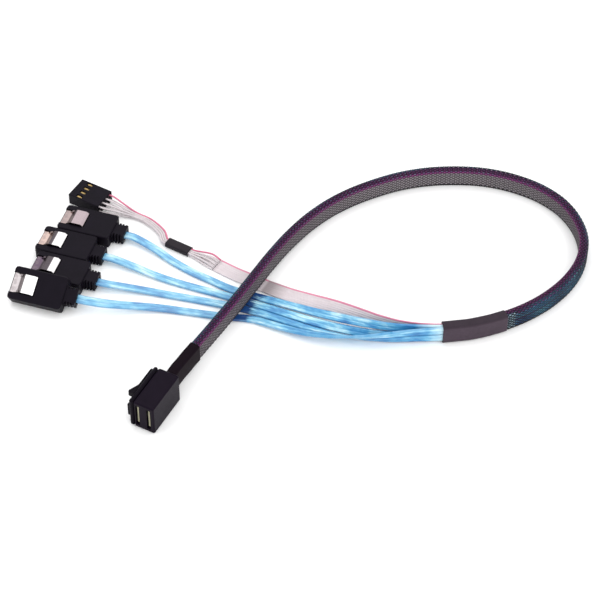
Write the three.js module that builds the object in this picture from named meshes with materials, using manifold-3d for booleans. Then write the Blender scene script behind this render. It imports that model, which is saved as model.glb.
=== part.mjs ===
// Mini SAS HD breakout cable: one 36-pin plug, four SATA plugs and a sideband plug on one flat loom.
// Millimetres, +Z up, z = 0 is the table. The origin is the middle of the big plug's lower side.
import * as THREE from 'three';
import { mergeVertices } from 'three/addons/utils/BufferGeometryUtils.js';
import Module from 'manifold-3d';

const wasm = await Module();
wasm.setup();

// Clearances
const fit = 0.3; // between rigid pieces that seat in one another
const lay = 0.13; // between cables that lie against each other
const overlap = 0.5; // how far joined solids reach into one another, and cuts pass a face
const cutPoints = 2; // of a section's corner that is cut straight
const ringPoints = 3; // and of one that is rounded

// Flat data cables, sideband ribbon and its single wires
const cableWidth = 3.5;
const cableThick = 1.1;
const ribbonWidth = 6.7;
const ribbonThick = 0.5;
const wireDiameter = 0.74;
const wirePitch = 0.83;
const stripRound = 0.35; // corner of a flat cable, as a share of its thickness
const wireRound = 0.29;

// Braided sleeve and heat-shrink tubes
const sleeveWall = 0.2;
const tubeWall = 0.22;
const bootLength = 18;
const breakoutLength = 25;
const sleeveEntry = 12; // how far the sleeve reaches into the breakout tube
const sleeveCorner = 0.6;

// Spacing of the sections along the cables
const trunkSteps = 44;
const bootSteps = 5;
const breakoutSteps = 6;
const markClear = 0.4; // share of a step that a piece's end keeps from the loom's marks
const cableStep = 7; // past the breakout tube
const wireStep = 5.5;

// Big plug, lying on one side: x to its mouth, y through its thickness, z along its card edges
const hdHeading = 242; // degrees in the ground plane
const hdLength = 19;
const hdThick = 10.4;
const hdWidth = 13.4;
const hdWall = 1.2;
const hdFrontWall = 2;
const hdSideWall = 2.6;
const hdCoverThick = 1.6;
const hdChamfer = 0.5;
const hdTrunkShift = 0.6; // the loom leaves midway between the two cards
const hdCableInsert = 4;
const hdTrunkLead = 5; // the loom leaves straight for this far

// Edge cards in the big plug
const cardThick = 1;
const cardWidth = 9.6;
const cardPitch = 4.6;
const cardSetback = 0.9;
const cardLength = 12.8;
const cardChamfer = 0.4;
const fingerSetback = 0.5;
const fingerCount = 9; // on each side of a card
const fingerPitch = 0.9;
const fingerWidth = 0.5;
const fingerLength = 3.2;
const fingerThick = 0.08;

// Press latch of the big plug
const hdLatchThick = 0.7;
const hdLatchLift = 1; // free height of the tongue over the floor of its recess
const hdLatchRecess = 0.7;
const hdLatchMargin = 0.6;
const hdLatchRootLength = 1.6;
const hdLatchRootSetback = 1;
const hdLatchRootProud = 1.2;
const hdLatchNeck = 5.6;
const hdHookWidth = 2.2;
const hdHookHeight = 1.8;
const hdHookSetback = 4.3;
const hdHookLength = 4.6;
const hdHookNose = 0.7;
const hdHeadCorner = 1.2;
const hdGripRibs = 4;
const hdGripPitch = 1.3;
const hdGripWidth = 0.5;
const hdGripDepth = 0.3;
const hdGripInset = 1.2;

// SATA plugs, lying flat: x to the mouth, z up
const sataWidth = 13.2;
const sataHeight = 5.6;
const sataLength = 21.7;
const sataNeckLength = 4.8;
const sataNeckWidth = 7.8;
const sataNeckDrop = 0.7;
const sataNeckTaper = 0.6;
const sataNeckRoot = 2;
const sataCorner = 1.1;
const sataEdge = 0.3;
const sataFloor = 0.7;
const sataMouthHeight = 3.1;
const sataMouthDepth = 8;
const sataMouthWidth = 11.5;
const sataRoof = 0.6; // between the mouth and the leaf's channel
const sataGrooveWidth = 0.6; // flex grooves in the neck
const sataGrooveCount = 3;
const sataGrooveDepth = 1.3;
const sataGrooveStart = 0.8;
const sataCableInsert = 3;
const cableLead = 3; // a cable enters its plug straight for this far

// Contact block in a SATA plug's mouth: an L-shaped slot over seven contacts
const slotWidth = 10.2;
const slotHeight = 1.3;
const slotDepth = 6.2;
const slotKey = 1.1;
const slotRoof = 0.5;
const slotKeyFloor = 0.3;
const blockSetback = 0.4;
const blockCorner = 0.25;
const contactCount = 7;
const contactPitch = 1.27;
const contactWidth = 0.5;
const contactHeight = 0.25;
const contactSetback = 0.7;

// Spring leaf on a SATA plug
const leafWidth = 7.4;
const leafThick = 0.35;
const leafLength = 9.4;
const leafSetback = 0.5;
const leafRise = 1.5;
const leafRamp = 1.5;
const leafFront = 2.9;
const leafTail = 0.9;
const leafTailDrop = 0.75;
const leafEar = 0.9;
const leafEarLength = 1.4;
const leafFloorGap = 0.35;
const leafBarb = 0.8;
const leafBarbLength = 1.4;
const leafBarbTop = 0.5;
const leafBarbWidth = 0.9;
const leafRunout = 0.4; // room behind the leaf
const railClear = 0.25;

// How the four SATA plugs lie: the nearest leans on its neighbour
const sataHeading = 162.4;
const sataLean = 28;
const sataCorner0 = [-58.3, 55.5];
const sataStagger = { d: 0, c: 3, b: 0.5, a: 4.4 };

// Sideband plug, 2 x 4 crimp housing
const sideHeading = 150;
const sideAside = 9.06; // from the farthest SATA plug's side to the middle of this housing
const sideBehind = 10.02; // and back from that plug's row
const sidePitch = 2.54;
const sideColumns = 4;
const sideRows = 2;
const sideLength = 14;
const sideSkin = 0.02; // past the last pitch on each side
const cellSize = 2;
const terminalSize = 1.5;
const terminalLength = 7;
const terminalBore = 0.8;
const terminalDepth = 5;
const terminalSetback = 0.8;
const terminalCorner = 0.2;
const tabLength = 1.4;
const tabWidth = 0.8;
const tabProud = 0.12;
const tabSetback = 0.5;
const crimpLength = 2.4;
const crimpSize = 1.1;
const crimpCorner = 0.35;
const crimpRoot = 0.3;
const sideCorner = 0.25;
const sideChamfer = 0.2;
const windowWidth = 1.3;
const windowLength = 2.6;
const windowSetback = 3.2;
const shrinkLength = 10.5;
const shrinkHeading = 149;
const shrinkWall = 0.25;
const shrinkCorner = 0.4;
const wireLead = 1.2; // the wires run straight this far at the short tube's ends
const wireStraight = 1.5; // and before the housing
const wireLift = 0.1;

// Sections through the loom, worked out from the cables
const bundleHeight = 2 * cableWidth + lay;
const bundleThick = 2 * cableThick + ribbonThick + 2 * lay;
const sleeveHeight = bundleHeight + 2 * (lay + sleeveWall);
const sleeveThick = bundleThick + 2 * (lay + sleeveWall);
const tubeGrow = 2 * (lay + tubeWall);
const pairShift = (ribbonThick + lay) / 2; // the cable pairs sit off centre, beside the ribbon

const up = new THREE.Vector3(0, 0, 1);
const group = new THREE.Group();

// Materials
const paint = (color, roughness, metalness) => ({ color, roughness, metalness });
const finishes = {
  moulding: paint(0x17161a, 0.5, 0),
  castShell: paint(0x2a282d, 0.42, 0.2),
  contactBlock: paint(0x0e0e10, 0.55, 0),
  spring: paint(0xd9d6d2, 0.28, 1),
  gold: paint(0xd4ad55, 0.3, 1),
  board: paint(0x25492f, 0.5, 0),
  jacket: paint(0x86c4ee, 0.35, 0),
  ribbon: paint(0xd9d2d2, 0.5, 0),
  wire: paint(0xded8d8, 0.5, 0),
  braid: paint(0x2b262c, 0.6, 0),
  shrink: paint(0x1c191c, 0.55, 0),
};

function addMesh(parent, name, geometry, finish) {
  geometry.computeVertexNormals();
  const mesh = new THREE.Mesh(geometry, new THREE.MeshStandardMaterial(finishes[finish]));
  mesh.name = name;
  parent.add(mesh);
  return mesh;
}

// Solids: closed meshes that can be joined and cut
const weld = 1e-4; // corners closer than this are one
function solidOf(geometry) {
  const bare = geometry.clone();
  bare.deleteAttribute('normal');
  bare.deleteAttribute('uv');
  const merged = mergeVertices(bare, weld);
  const vertProperties = new Float32Array(merged.attributes.position.array);
  const triVerts = new Uint32Array(merged.index.array);
  return new wasm.Manifold(new wasm.Mesh({ numProp: 3, vertProperties, triVerts }));
}

function geometryOf(solid) {
  const mesh = solid.getMesh();
  const geometry = new THREE.BufferGeometry();
  geometry.setAttribute('position', new THREE.BufferAttribute(mesh.vertProperties, 3));
  geometry.setIndex(new THREE.BufferAttribute(mesh.triVerts, 1));
  return geometry;
}

function block(x0, x1, y0, y1, z0, z1) {
  const box = new THREE.BoxGeometry(x1 - x0, y1 - y0, z1 - z0);
  box.translate((x0 + x1) / 2, (y0 + y1) / 2, (z0 + z1) / 2);
  return solidOf(box);
}

const outline = (points) => new THREE.Shape(points.map(([a, b]) => new THREE.Vector2(a, b)));

// A prism of an outline in x and y, from z0 to z1, with an optional chamfer on both ends
function prismZ(points, z0, z1, chamfer = 0) {
  const geometry = new THREE.ExtrudeGeometry(outline(points), {
    depth: z1 - z0 - 2 * chamfer,
    bevelEnabled: chamfer > 0,
    bevelThickness: chamfer,
    bevelSize: chamfer,
    bevelOffset: -chamfer,
    bevelSegments: 1,
  });
  return solidOf(geometry.translate(0, 0, z0 + chamfer));
}

// A prism of an outline in x and z, from y0 to y1
function prismY(points, y0, y1) {
  const geometry = new THREE.ExtrudeGeometry(outline(points), { depth: y1 - y0, bevelEnabled: false });
  return solidOf(geometry.rotateX(Math.PI / 2).translate(0, y1, 0));
}

// A prism of an outline in y and z, from x0 to x1, with an optional chamfer on both ends
function prismX(points, x0, x1, chamfer = 0) {
  const geometry = new THREE.ExtrudeGeometry(outline(points), {
    depth: x1 - x0 - 2 * chamfer,
    bevelEnabled: chamfer > 0,
    bevelThickness: chamfer,
    bevelSize: chamfer,
    bevelOffset: -chamfer,
    bevelSegments: 1,
  });
  const turn = new THREE.Matrix4().makeBasis(
    new THREE.Vector3(0, 1, 0), new THREE.Vector3(0, 0, 1), new THREE.Vector3(1, 0, 0));
  return solidOf(geometry.applyMatrix4(turn).translate(x0 + chamfer, 0, 0));
}

// A rectangle with its corners cut or rounded, as a list of points
function roundRect(width, height, radius, pointsPerCorner) {
  const points = [];
  const corners = [[1, 1], [-1, 1], [-1, -1], [1, -1]];
  corners.forEach(([sx, sy], quarter) => {
    for (let i = 0; i < pointsPerCorner; i++) {
      const angle = (quarter + i / (pointsPerCorner - 1)) * Math.PI / 2;
      const cx = sx * (width / 2 - radius);
      const cy = sy * (height / 2 - radius);
      points.push([cx + radius * Math.cos(angle), cy + radius * Math.sin(angle)]);
    }
  });
  return points;
}

const shifted = (points, dx, dy) => points.map(([x, y]) => [x + dx, y + dy]);

// A route is a list of stations. Each holds a point and the turn of the section about the route:
// 0 degrees lies flat, 90 degrees stands on edge.
class Route extends THREE.Curve {
  constructor(stations) {
    super();
    this.stations = stations;
  }

  getSpacedPoints() {
    return this.stations.map((station) => station.point.clone());
  }

  computeFrenetFrames() {
    const frames = { tangents: [], normals: [], binormals: [] };
    this.stations.forEach((station, i) => {
      const before = this.stations[Math.max(i - 1, 0)].point;
      const after = this.stations[Math.min(i + 1, this.stations.length - 1)].point;
      const tangent = after.clone().sub(before).normalize();
      const { right, rise } = sideways(tangent);
      const turn = THREE.MathUtils.degToRad(station.turn);
      const normal = right.multiplyScalar(Math.cos(turn)).addScaledVector(rise, Math.sin(turn));
      frames.tangents.push(tangent);
      frames.normals.push(normal);
      frames.binormals.push(tangent.clone().cross(normal));
    });
    return frames;
  }
}

// The right-hand side of a direction, level with the table, and the rise square to both
function sideways(tangent) {
  const right = tangent.clone().cross(up).normalize();
  const rise = right.clone().cross(tangent);
  return { right, rise };
}

function sweep(stations, section, hole) {
  const shape = outline(section);
  if (hole) shape.holes.push(new THREE.Path(hole.map(([a, b]) => new THREE.Vector2(a, b))));
  const extrudePath = new Route(stations);
  return new THREE.ExtrudeGeometry(shape, { steps: stations.length - 1, extrudePath });
}

// Stations along a smooth curve through chosen points, no further apart than about the spacing
function smoothStations(points, spacing) {
  const curve = new THREE.CatmullRomCurve3(points.map((p) => p.point), false, 'centripetal');
  const stations = [points[0]];
  for (let i = 1; i < points.length; i++) {
    const span = points[i].point.distanceTo(points[i - 1].point);
    const parts = Math.max(1, Math.round(span / spacing));
    for (let j = 1; j <= parts; j++) {
      const share = j / parts;
      const turn = THREE.MathUtils.lerp(points[i - 1].turn, points[i].turn, share);
      stations.push({ point: curve.getPoint((i - 1 + share) / (points.length - 1)), turn });
    }
  }
  return stations;
}

const station = (x, y, z, turn = 0) => ({ point: new THREE.Vector3(x, y, z), turn });

const flatSection = roundRect(cableWidth, cableThick, cableThick * stripRound, cutPoints);
const ribbonSection = roundRect(ribbonWidth, ribbonThick, ribbonThick * stripRound, cutPoints);

// Plugs stand in groups of their own, turned to their heading
function headingGroup(x, y, z, heading) {
  const place = new THREE.Group();
  place.position.set(x, y, z);
  place.rotation.z = THREE.MathUtils.degToRad(heading);
  group.add(place);
  return place;
}

// Big plug
const hd = headingGroup(0, 0, 0, hdHeading);
const hdFront = hdLength / 2;
const hdRear = -hdLength / 2;
const hdMid = hdWidth / 2;
const hdSeam = -hdThick / 2 + hdCoverThick + fit;
const cardPlaces = [hdTrunkShift - cardPitch / 2, hdTrunkShift + cardPitch / 2];
const cardSlot = cardThick + 2 * fit;
const cardGroove = cardWidth + 2 * fit;

function hdPlugShell() {
  const half = hdThick / 2;
  const side = shifted(roundRect(half - hdSeam, hdWidth, hdChamfer, cutPoints),
    (hdSeam + half) / 2, hdMid);
  let shell = prismX(side, hdRear, hdFront, hdChamfer);
  shell = shell.subtract(block(hdRear + hdWall, hdFront - hdFrontWall, hdSeam - overlap, half - hdWall,
    hdSideWall, hdWidth - hdSideWall));
  for (const y of cardPlaces) {
    shell = shell.subtract(block(hdRear + hdWall, hdFront + overlap, y - cardSlot / 2, y + cardSlot / 2,
      hdMid - cardGroove / 2, hdMid + cardGroove / 2));
  }
  const gate = sleeveThick / 2 + fit;
  const gateHeight = sleeveHeight / 2 + fit;
  return shell.subtract(block(hdRear - overlap, hdRear + hdWall + overlap,
    hdTrunkShift - gate, hdTrunkShift + gate, hdMid - gateHeight, hdMid + gateHeight));
}

function hdPlugCover() {
  const outer = -hdThick / 2;
  const inner = hdSeam - fit;
  const plate = shifted(roundRect(inner - outer, hdWidth, hdChamfer, cutPoints),
    (inner + outer) / 2, hdMid);
  const lip = fit + hdSideWall;
  const recessFront = hdFront - hdLatchRootSetback + fit;
  return prismX(plate, hdRear, hdFront, hdChamfer)
    .add(block(hdRear + hdWall + fit, hdFront - hdFrontWall - fit, inner - overlap, hdSeam + fit,
      lip, hdWidth - lip))
    .subtract(block(hdRear - overlap, recessFront, outer - overlap, outer + hdLatchRecess,
      hdLatchMargin, hdWidth - hdLatchMargin));
}

function hdPlugLatch() {
  const face = -hdThick / 2;
  const floor = face + hdLatchRecess;
  const inside = floor - hdLatchLift;
  const outside = inside - hdLatchThick;
  const rootFront = hdFront - hdLatchRootSetback;
  const rootRear = rootFront - hdLatchRootLength;
  const headFront = hdFront - hdHookSetback;
  const headRear = hdRear + hdChamfer;
  const low = hdLatchMargin + fit;
  const high = hdWidth - low;
  const neckLow = hdMid - hdLatchNeck / 2;
  const neckHigh = hdMid + hdLatchNeck / 2;
  let latch = block(rootRear, rootFront, face - hdLatchRootProud, floor - fit, neckLow, neckHigh);
  latch = latch.add(block(headFront - overlap, rootRear + overlap, outside, inside, neckLow, neckHigh));
  const head = shifted(roundRect(headFront - headRear, high - low, hdHeadCorner, ringPoints),
    (headFront + headRear) / 2, hdMid);
  latch = latch.add(prismY(head, outside, inside));
  const tip = outside - hdHookHeight;
  const hookRear = headFront - hdHookLength;
  const hook = [[headFront, inside], [hookRear, inside], [hookRear, outside],
    [headFront - hdHookNose, tip], [headFront, tip + hdHookNose / 3]];
  for (const [z0, z1] of [[low, low + hdHookWidth], [high - hdHookWidth, high]]) {
    latch = latch.add(prismZ(hook, z0, z1));
  }
  for (let i = 0; i < hdGripRibs; i++) {
    const x = headRear + hdGripWidth + (i + 0.5) * hdGripPitch;
    latch = latch.add(block(x - hdGripWidth, x, outside - hdGripDepth, outside + hdLatchThick / 2,
      low + hdGripInset, high - hdGripInset));
  }
  return latch;
}

function edgeCard(y) {
  const front = hdFront - cardSetback;
  const half = cardWidth / 2;
  const board = [
    [front - cardChamfer, hdMid - half], [front, hdMid - half + cardChamfer],
    [front, hdMid + half - cardChamfer], [front - cardChamfer, hdMid + half],
    [front - cardLength, hdMid + half], [front - cardLength, hdMid - half],
  ];
  let card = prismY(board, y - cardThick / 2, y + cardThick / 2);
  const fingerFront = front - fingerSetback;
  const reach = cardThick / 2 + fingerThick;
  for (let i = 0; i < fingerCount; i++) {
    const z = hdMid + (i - (fingerCount - 1) / 2) * fingerPitch;
    card = card.add(block(fingerFront - fingerLength, fingerFront, y - reach, y + reach,
      z - fingerWidth / 2, z + fingerWidth / 2));
  }
  return card;
}

addMesh(hd, 'hd_plug_shell', geometryOf(hdPlugShell()), 'castShell');
addMesh(hd, 'hd_plug_cover', geometryOf(hdPlugCover()), 'moulding');
addMesh(hd, 'hd_plug_latch', geometryOf(hdPlugLatch()), 'moulding');
addMesh(hd, 'hd_card_left', geometryOf(edgeCard(cardPlaces[0])), 'board');
addMesh(hd, 'hd_card_right', geometryOf(edgeCard(cardPlaces[1])), 'board');

// The loom's route, standing on edge, from inside the big plug to the breakout tube's mouth.
// Each point is [x, y, lift over the table].
group.updateMatrixWorld(true);
const hdPoint = (x) => hd.localToWorld(new THREE.Vector3(x, hdTrunkShift, hdMid));
const trunkPoints = [
  [12.4, 21.2, 2.6], [18.5, 31.2, 2.5], [24.4, 41, 2.4], [30.3, 51, 2.3], [36, 61.3, 2.1],
  [42, 72.3, 1.6], [48.6, 83.3, 0.9], [56.3, 93.7, 0.3], [64.5, 102, 0], [73.5, 108.5, 0],
  [83.5, 113.8, 0], [93.5, 117.8, 0], [104.5, 120.3, 0], [115.5, 121, 0], [125.5, 120.3, 0],
  [134, 118.3, 0], [142, 115, 0], [149.5, 110.4, 0], [157.3, 102.5, 0], [162.4, 92, 0],
  [163.9, 81.3, 0], [161.5, 70.8, 0], [155.9, 61, 0], [148, 52.6, 0], [139, 46, 0.1],
  [130, 41.3, 0.3], [118.5, 37.4, 0.38], [106.8, 35.7, 0.38],
];
const trunkCurve = new THREE.CatmullRomCurve3([
  hdPoint(hdRear + hdCableInsert), hdPoint(hdRear), hdPoint(hdRear - hdTrunkLead),
  ...trunkPoints.map(([x, y, lift]) => new THREE.Vector3(x, y, sleeveHeight / 2 + lift)),
], false, 'centripetal');
trunkCurve.arcLengthDivisions = 1200;
const trunkLength = trunkCurve.getLength();

function trunkStation(distance, across = 0, rise = 0) {
  const u = THREE.MathUtils.clamp(distance / trunkLength, 0, 1);
  const frame = sideways(trunkCurve.getTangentAt(u));
  const point = trunkCurve.getPointAt(u)
    .addScaledVector(frame.right, across).addScaledVector(frame.rise, rise);
  return { point, turn: 90 };
}

const trunkMarks = [];
for (let i = 0; i <= trunkSteps; i++) trunkMarks.push(i * trunkLength / trunkSteps);

// Stations of a piece that covers the loom between two distances, on the loom's own marks
function trunkStretch(from, to) {
  const gap = markClear * trunkLength / trunkSteps;
  const between = trunkMarks.filter((mark) => mark > from + gap && mark < to - gap);
  return [from, ...between, to].map((mark) => trunkStation(mark));
}

function evenStretch(from, to, steps) {
  const stations = [];
  for (let i = 0; i <= steps; i++) stations.push(trunkStation(from + (to - from) * i / steps));
  return stations;
}

const sleeveOuter = roundRect(sleeveHeight, sleeveThick, sleeveCorner, ringPoints);
const sleeveInner = roundRect(sleeveHeight - 2 * sleeveWall, sleeveThick - 2 * sleeveWall,
  sleeveCorner - sleeveWall, ringPoints);
const tubeOuter = roundRect(sleeveHeight + tubeGrow, sleeveThick + tubeGrow,
  sleeveCorner + tubeGrow / 2, ringPoints);
const tubeInner = roundRect(sleeveHeight + 2 * lay, sleeveThick + 2 * lay, sleeveCorner + lay, ringPoints);
const sleeveStart = hdCableInsert - hdWall;
const sleeveEnd = trunkLength - breakoutLength + sleeveEntry;

const bootStart = hdCableInsert + fit;
const sleeveStations = trunkStretch(sleeveStart, sleeveEnd);
const bootStations = evenStretch(bootStart, bootStart + bootLength, bootSteps);
const breakoutStations = evenStretch(trunkLength - breakoutLength, trunkLength, breakoutSteps);

addMesh(group, 'trunk_sleeve', sweep(sleeveStations, sleeveOuter, sleeveInner), 'braid');
addMesh(group, 'hd_boot', sweep(bootStations, tubeOuter, tubeInner), 'shrink');
addMesh(group, 'breakout_tube', sweep(breakoutStations, tubeOuter, tubeInner), 'shrink');

// SATA plugs
const sataRear = -sataLength;
const neckEnd = sataRear - sataNeckLength;
const sataCellTop = sataFloor + sataMouthHeight;
const channelFloor = sataCellTop + sataRoof;
const channelHalf = leafWidth / 2 + railClear;
const channelRear = -leafSetback - leafLength - leafRunout;
const leafBottom = channelFloor + leafFloorGap;
const earTop = leafBottom + leafThick + fit;
const cableSlotHeight = cableThick + 2 * fit;
const sataExitHeight = (sataHeight - sataNeckDrop) / 2;

function sataShell() {
  const plan = shifted(roundRect(sataLength, sataWidth, sataCorner, ringPoints), sataRear / 2, 0);
  let shell = prismZ(plan, 0, sataHeight, sataEdge);
  const neckFront = sataRear + sataNeckRoot;
  const neckHalf = sataNeckWidth / 2;
  const neckPlan = [[neckFront, -neckHalf], [neckFront, neckHalf],
    [neckEnd, neckHalf - sataNeckTaper], [neckEnd, -neckHalf + sataNeckTaper]];
  shell = shell.add(prismZ(neckPlan, sataNeckDrop / 2, sataHeight - sataNeckDrop, sataEdge));
  shell = shell.subtract(block(channelRear, overlap, -channelHalf, channelHalf,
    channelFloor, sataHeight + overlap));
  shell = shell.subtract(block(-sataMouthDepth, overlap, -sataMouthWidth / 2, sataMouthWidth / 2,
    sataFloor, sataCellTop));
  const ear = leafWidth / 2 + leafEar + fit;
  shell = shell.subtract(block(-leafSetback - leafEarLength - fit, -leafSetback + fit, -ear, ear,
    channelFloor, earTop));
  const slotHalf = cableWidth / 2 + fit;
  shell = shell.subtract(block(neckEnd - overlap, neckEnd + sataCableInsert, -slotHalf, slotHalf,
    sataExitHeight - cableSlotHeight / 2, sataExitHeight + cableSlotHeight / 2));
  for (let i = 0; i < sataGrooveCount; i++) {
    const x = sataRear - sataGrooveStart - i * 2 * sataGrooveWidth;
    const bottom = neckHalf - sataGrooveDepth;
    for (const [y0, y1] of [[-neckHalf - overlap, -bottom], [bottom, neckHalf + overlap]]) {
      shell = shell.subtract(block(x - sataGrooveWidth, x, y0, y1, 0, sataHeight));
    }
  }
  return shell;
}

function sataContactBlock() {
  const front = -blockSetback;
  const rear = -sataMouthDepth + fit;
  const half = sataMouthWidth / 2 - fit;
  const bottom = sataFloor + fit;
  const top = sataCellTop - fit;
  const slotBottom = top - slotRoof - slotHeight;
  const slotRear = front - slotDepth;
  const face = shifted(roundRect(2 * half, top - bottom, blockCorner, cutPoints), 0, (top + bottom) / 2);
  let insulator = prismX(face, rear, front);
  insulator = insulator.subtract(block(slotRear, front + overlap, -slotWidth / 2, slotWidth / 2,
    slotBottom, slotBottom + slotHeight));
  insulator = insulator.subtract(block(slotRear, front + overlap, slotWidth / 2 - slotKey, slotWidth / 2,
    bottom + slotKeyFloor, slotBottom + slotHeight / 2));
  for (let i = 0; i < contactCount; i++) {
    const y = (i - (contactCount - 1) / 2) * contactPitch - slotKey / 2;
    insulator = insulator.add(block(slotRear - overlap, front - contactSetback,
      y - contactWidth / 2, y + contactWidth / 2, slotBottom - contactHeight, slotBottom + contactHeight));
  }
  return insulator;
}

function sataLeaf() {
  const front = -leafSetback;
  const low = leafBottom;
  const high = leafBottom + leafRise;
  const rear = front - leafLength;
  const rampStart = front - leafFront;
  const rampEnd = rampStart - leafRamp;
  const t = leafThick;
  const strip = [
    [front, low], [front, low + t], [rampStart, low + t], [rampEnd, high + t], [rear + leafTail, high + t],
    [rear, high + t - leafTailDrop], [rear, high - leafTailDrop], [rear + leafTail, high], [rampEnd, high],
    [rampStart, low],
  ];
  let leaf = prismY(strip, -leafWidth / 2, leafWidth / 2);
  leaf = leaf.add(block(front - leafEarLength, front, -leafWidth / 2 - leafEar, leafWidth / 2 + leafEar,
    low, low + t));
  const barbTop = low + t + leafBarb;
  const barbRear = rampStart - leafBarbTop;
  const barbRoot = low + leafRise * leafBarbTop / leafRamp + t / 2;
  const barb = [[rampStart + leafBarbLength, low + t / 2], [rampStart, barbTop], [barbRear, barbTop],
    [barbRear, barbRoot]];
  for (const side of [-1, 1]) {
    const y = side * (leafWidth - leafBarbWidth) / 2;
    leaf = leaf.add(prismY(barb, y - leafBarbWidth / 2, y + leafBarbWidth / 2));
  }
  return leaf;
}

// The nearest plug leans about its near lower edge until its far edge clears the next plug's top
const sataNames = ['d', 'c', 'b', 'a'];
const leanAngle = THREE.MathUtils.degToRad(sataLean);
const leanReach = (sataHeight + fit) / Math.tan(leanAngle);
const across0 = { d: 0, c: leanReach };
across0.b = across0.c + sataWidth + fit;
across0.a = across0.b + sataWidth + fit;

// A point on the table, measured across and forward from the nearest plug's near front corner
function besideSata(across, along) {
  const heading = THREE.MathUtils.degToRad(sataHeading);
  const forward = new THREE.Vector3(Math.cos(heading), Math.sin(heading), 0);
  const { right } = sideways(forward);
  return new THREE.Vector3(sataCorner0[0], sataCorner0[1], 0)
    .addScaledVector(right, across).addScaledVector(forward, along);
}

function placeSataPlug(name) {
  const corner = besideSata(across0[name], -sataStagger[name]);
  const frame = headingGroup(corner.x, corner.y, 0, sataHeading);
  frame.rotation.order = 'ZYX';
  frame.rotation.x = name === 'd' ? -leanAngle : 0;
  const body = new THREE.Group();
  body.position.y = -sataWidth / 2;
  frame.add(body);
  return body;
}

const sataShellGeometry = geometryOf(sataShell());
const contactGeometry = geometryOf(sataContactBlock());
const leafGeometry = geometryOf(sataLeaf());
const sataBodies = {};
for (const name of sataNames) {
  const body = placeSataPlug(name);
  addMesh(body, `sata_${name}_shell`, sataShellGeometry.clone(), 'moulding');
  addMesh(body, `sata_${name}_contact_block`, contactGeometry.clone(), 'contactBlock');
  addMesh(body, `sata_${name}_latch_leaf`, leafGeometry.clone(), 'spring');
  sataBodies[name] = body;
}
group.updateMatrixWorld(true);

// The fan: past the tube two pairs of cables stand on edge, open like a book and lie flat
const fanPoints = [
  [98, 35.2, 0.5, 86], [88, 35.1, 0.25, 76], [78, 36, 0.12, 58], [68, 38.3, 0.06, 38],
  [58, 41.9, 0.05, 20], [47, 46.7, 0.05, 7], [37, 51, 0.05, 0],
];

const fanSpread = 0.4; // how far neighbours move apart once they lie flat

// Free run of each cable from the fan to its plug, [x, y, height of its middle]
const cablePoints = {
  a: [[26.5, 61.4, 0.6], [18.3, 66.2, 0.6], [10.5, 71, 0.65], [3.3, 76.3, 0.8], [-3.4, 82, 1.5]],
  b: [[26, 57.3, 0.6], [18.5, 60, 0.6], [10.7, 62.8, 0.6], [3, 65.8, 0.65], [-4, 68.9, 0.9],
    [-11, 72.2, 1.6]],
  c: [[26, 52.6, 0.6], [18, 54.6, 0.6], [10, 56.6, 0.6], [2.5, 58.3, 0.65], [-5, 60, 0.9],
    [-13, 61.2, 1.7]],
  d: [[25, 46.9, 0.6], [16, 48.4, 0.6], [8, 49.8, 0.7], [0, 50.9, 1.1], [-8, 51, 2], [-16, 50.4, 3.5],
    [-22.5, 50, 4.9]],
};
const cableSides = { a: 1, b: 1, c: -1, d: -1 };
const cableRanks = { a: 1, b: 0, c: 0, d: 1 }; // inner cables lie low, outer ones above them

// A cable's place in the loom: across the loom's middle and up from it
function cableLane(name) {
  const across = cableSides[name] * (cableThick + lay) / 2 - pairShift;
  const rise = (cableRanks[name] - 0.5) * (cableWidth + lay);
  return { across, rise };
}

function fanLane(index, name) {
  const [x, y, lift, open] = fanPoints[index];
  const before = fanPoints[Math.max(index - 1, 0)];
  const after = fanPoints[Math.min(index + 1, fanPoints.length - 1)];
  const tangent = new THREE.Vector3(after[0] - before[0], after[1] - before[1], 0).normalize();
  const { right } = sideways(tangent);
  const angle = THREE.MathUtils.degToRad(open);
  const arm = cableWidth / 2 + cableRanks[name] * (cableWidth + lay + fanSpread * Math.cos(angle));
  const out = lay / 2 + Math.sin(angle) * cableThick / 2 + arm * Math.cos(angle);
  const height = lift + arm * Math.sin(angle) + Math.cos(angle) * cableThick / 2;
  const side = cableSides[name];
  const point = new THREE.Vector3(x, y, height).addScaledVector(right, side * out);
  return { point, turn: side > 0 ? open : 180 - open };
}

function sataCable(name) {
  const { across, rise } = cableLane(name);
  const held = trunkMarks.slice(0, -2).map((mark) => trunkStation(mark, across, rise));
  const flatTurn = cableSides[name] > 0 ? 0 : 180;
  const lean = name === 'd' ? sataLean : 0;
  const atPlug = (x) => sataBodies[name].localToWorld(new THREE.Vector3(x, 0, sataExitHeight));
  const lastPoint = cablePoints[name].length - 1;
  const free = [
    ...trunkMarks.slice(-2).map((mark) => trunkStation(mark, across, rise)),
    ...fanPoints.map((_, index) => fanLane(index, name)),
    ...cablePoints[name].map(([x, y, z], i) => station(x, y, z, flatTurn + lean * (i / lastPoint) ** 3)),
    ...[-cableLead, 0, sataCableInsert - fit].map((x) => (
      { point: atPlug(neckEnd + x), turn: flatTurn + lean })),
  ];
  return sweep([...held, ...smoothStations(free, cableStep)], flatSection);
}

for (const name of sataNames.slice().reverse()) {
  addMesh(group, `sata_${name}_cable`, sataCable(name), 'jacket');
}

// Sideband ribbon: on the loom's inner side, then over on its side and flat, [x, y, height, turn]
const ribbonPoints = [
  [98, 37.6, 3.95, 88], [90, 39, 3.8, 80], [82, 41.8, 3.55, 68], [74, 45.7, 3.05, 52],
  [66, 49.9, 2.3, 35], [58, 53.9, 1.4, 18], [49.5, 58.2, 0.65, 5], [41, 62.6, 0.4, 0],
  [34, 66.4, 0.36, 0], [27.5, 70.1, 0.36, 0], [21, 74.4, 0.36, 0],
];

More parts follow.
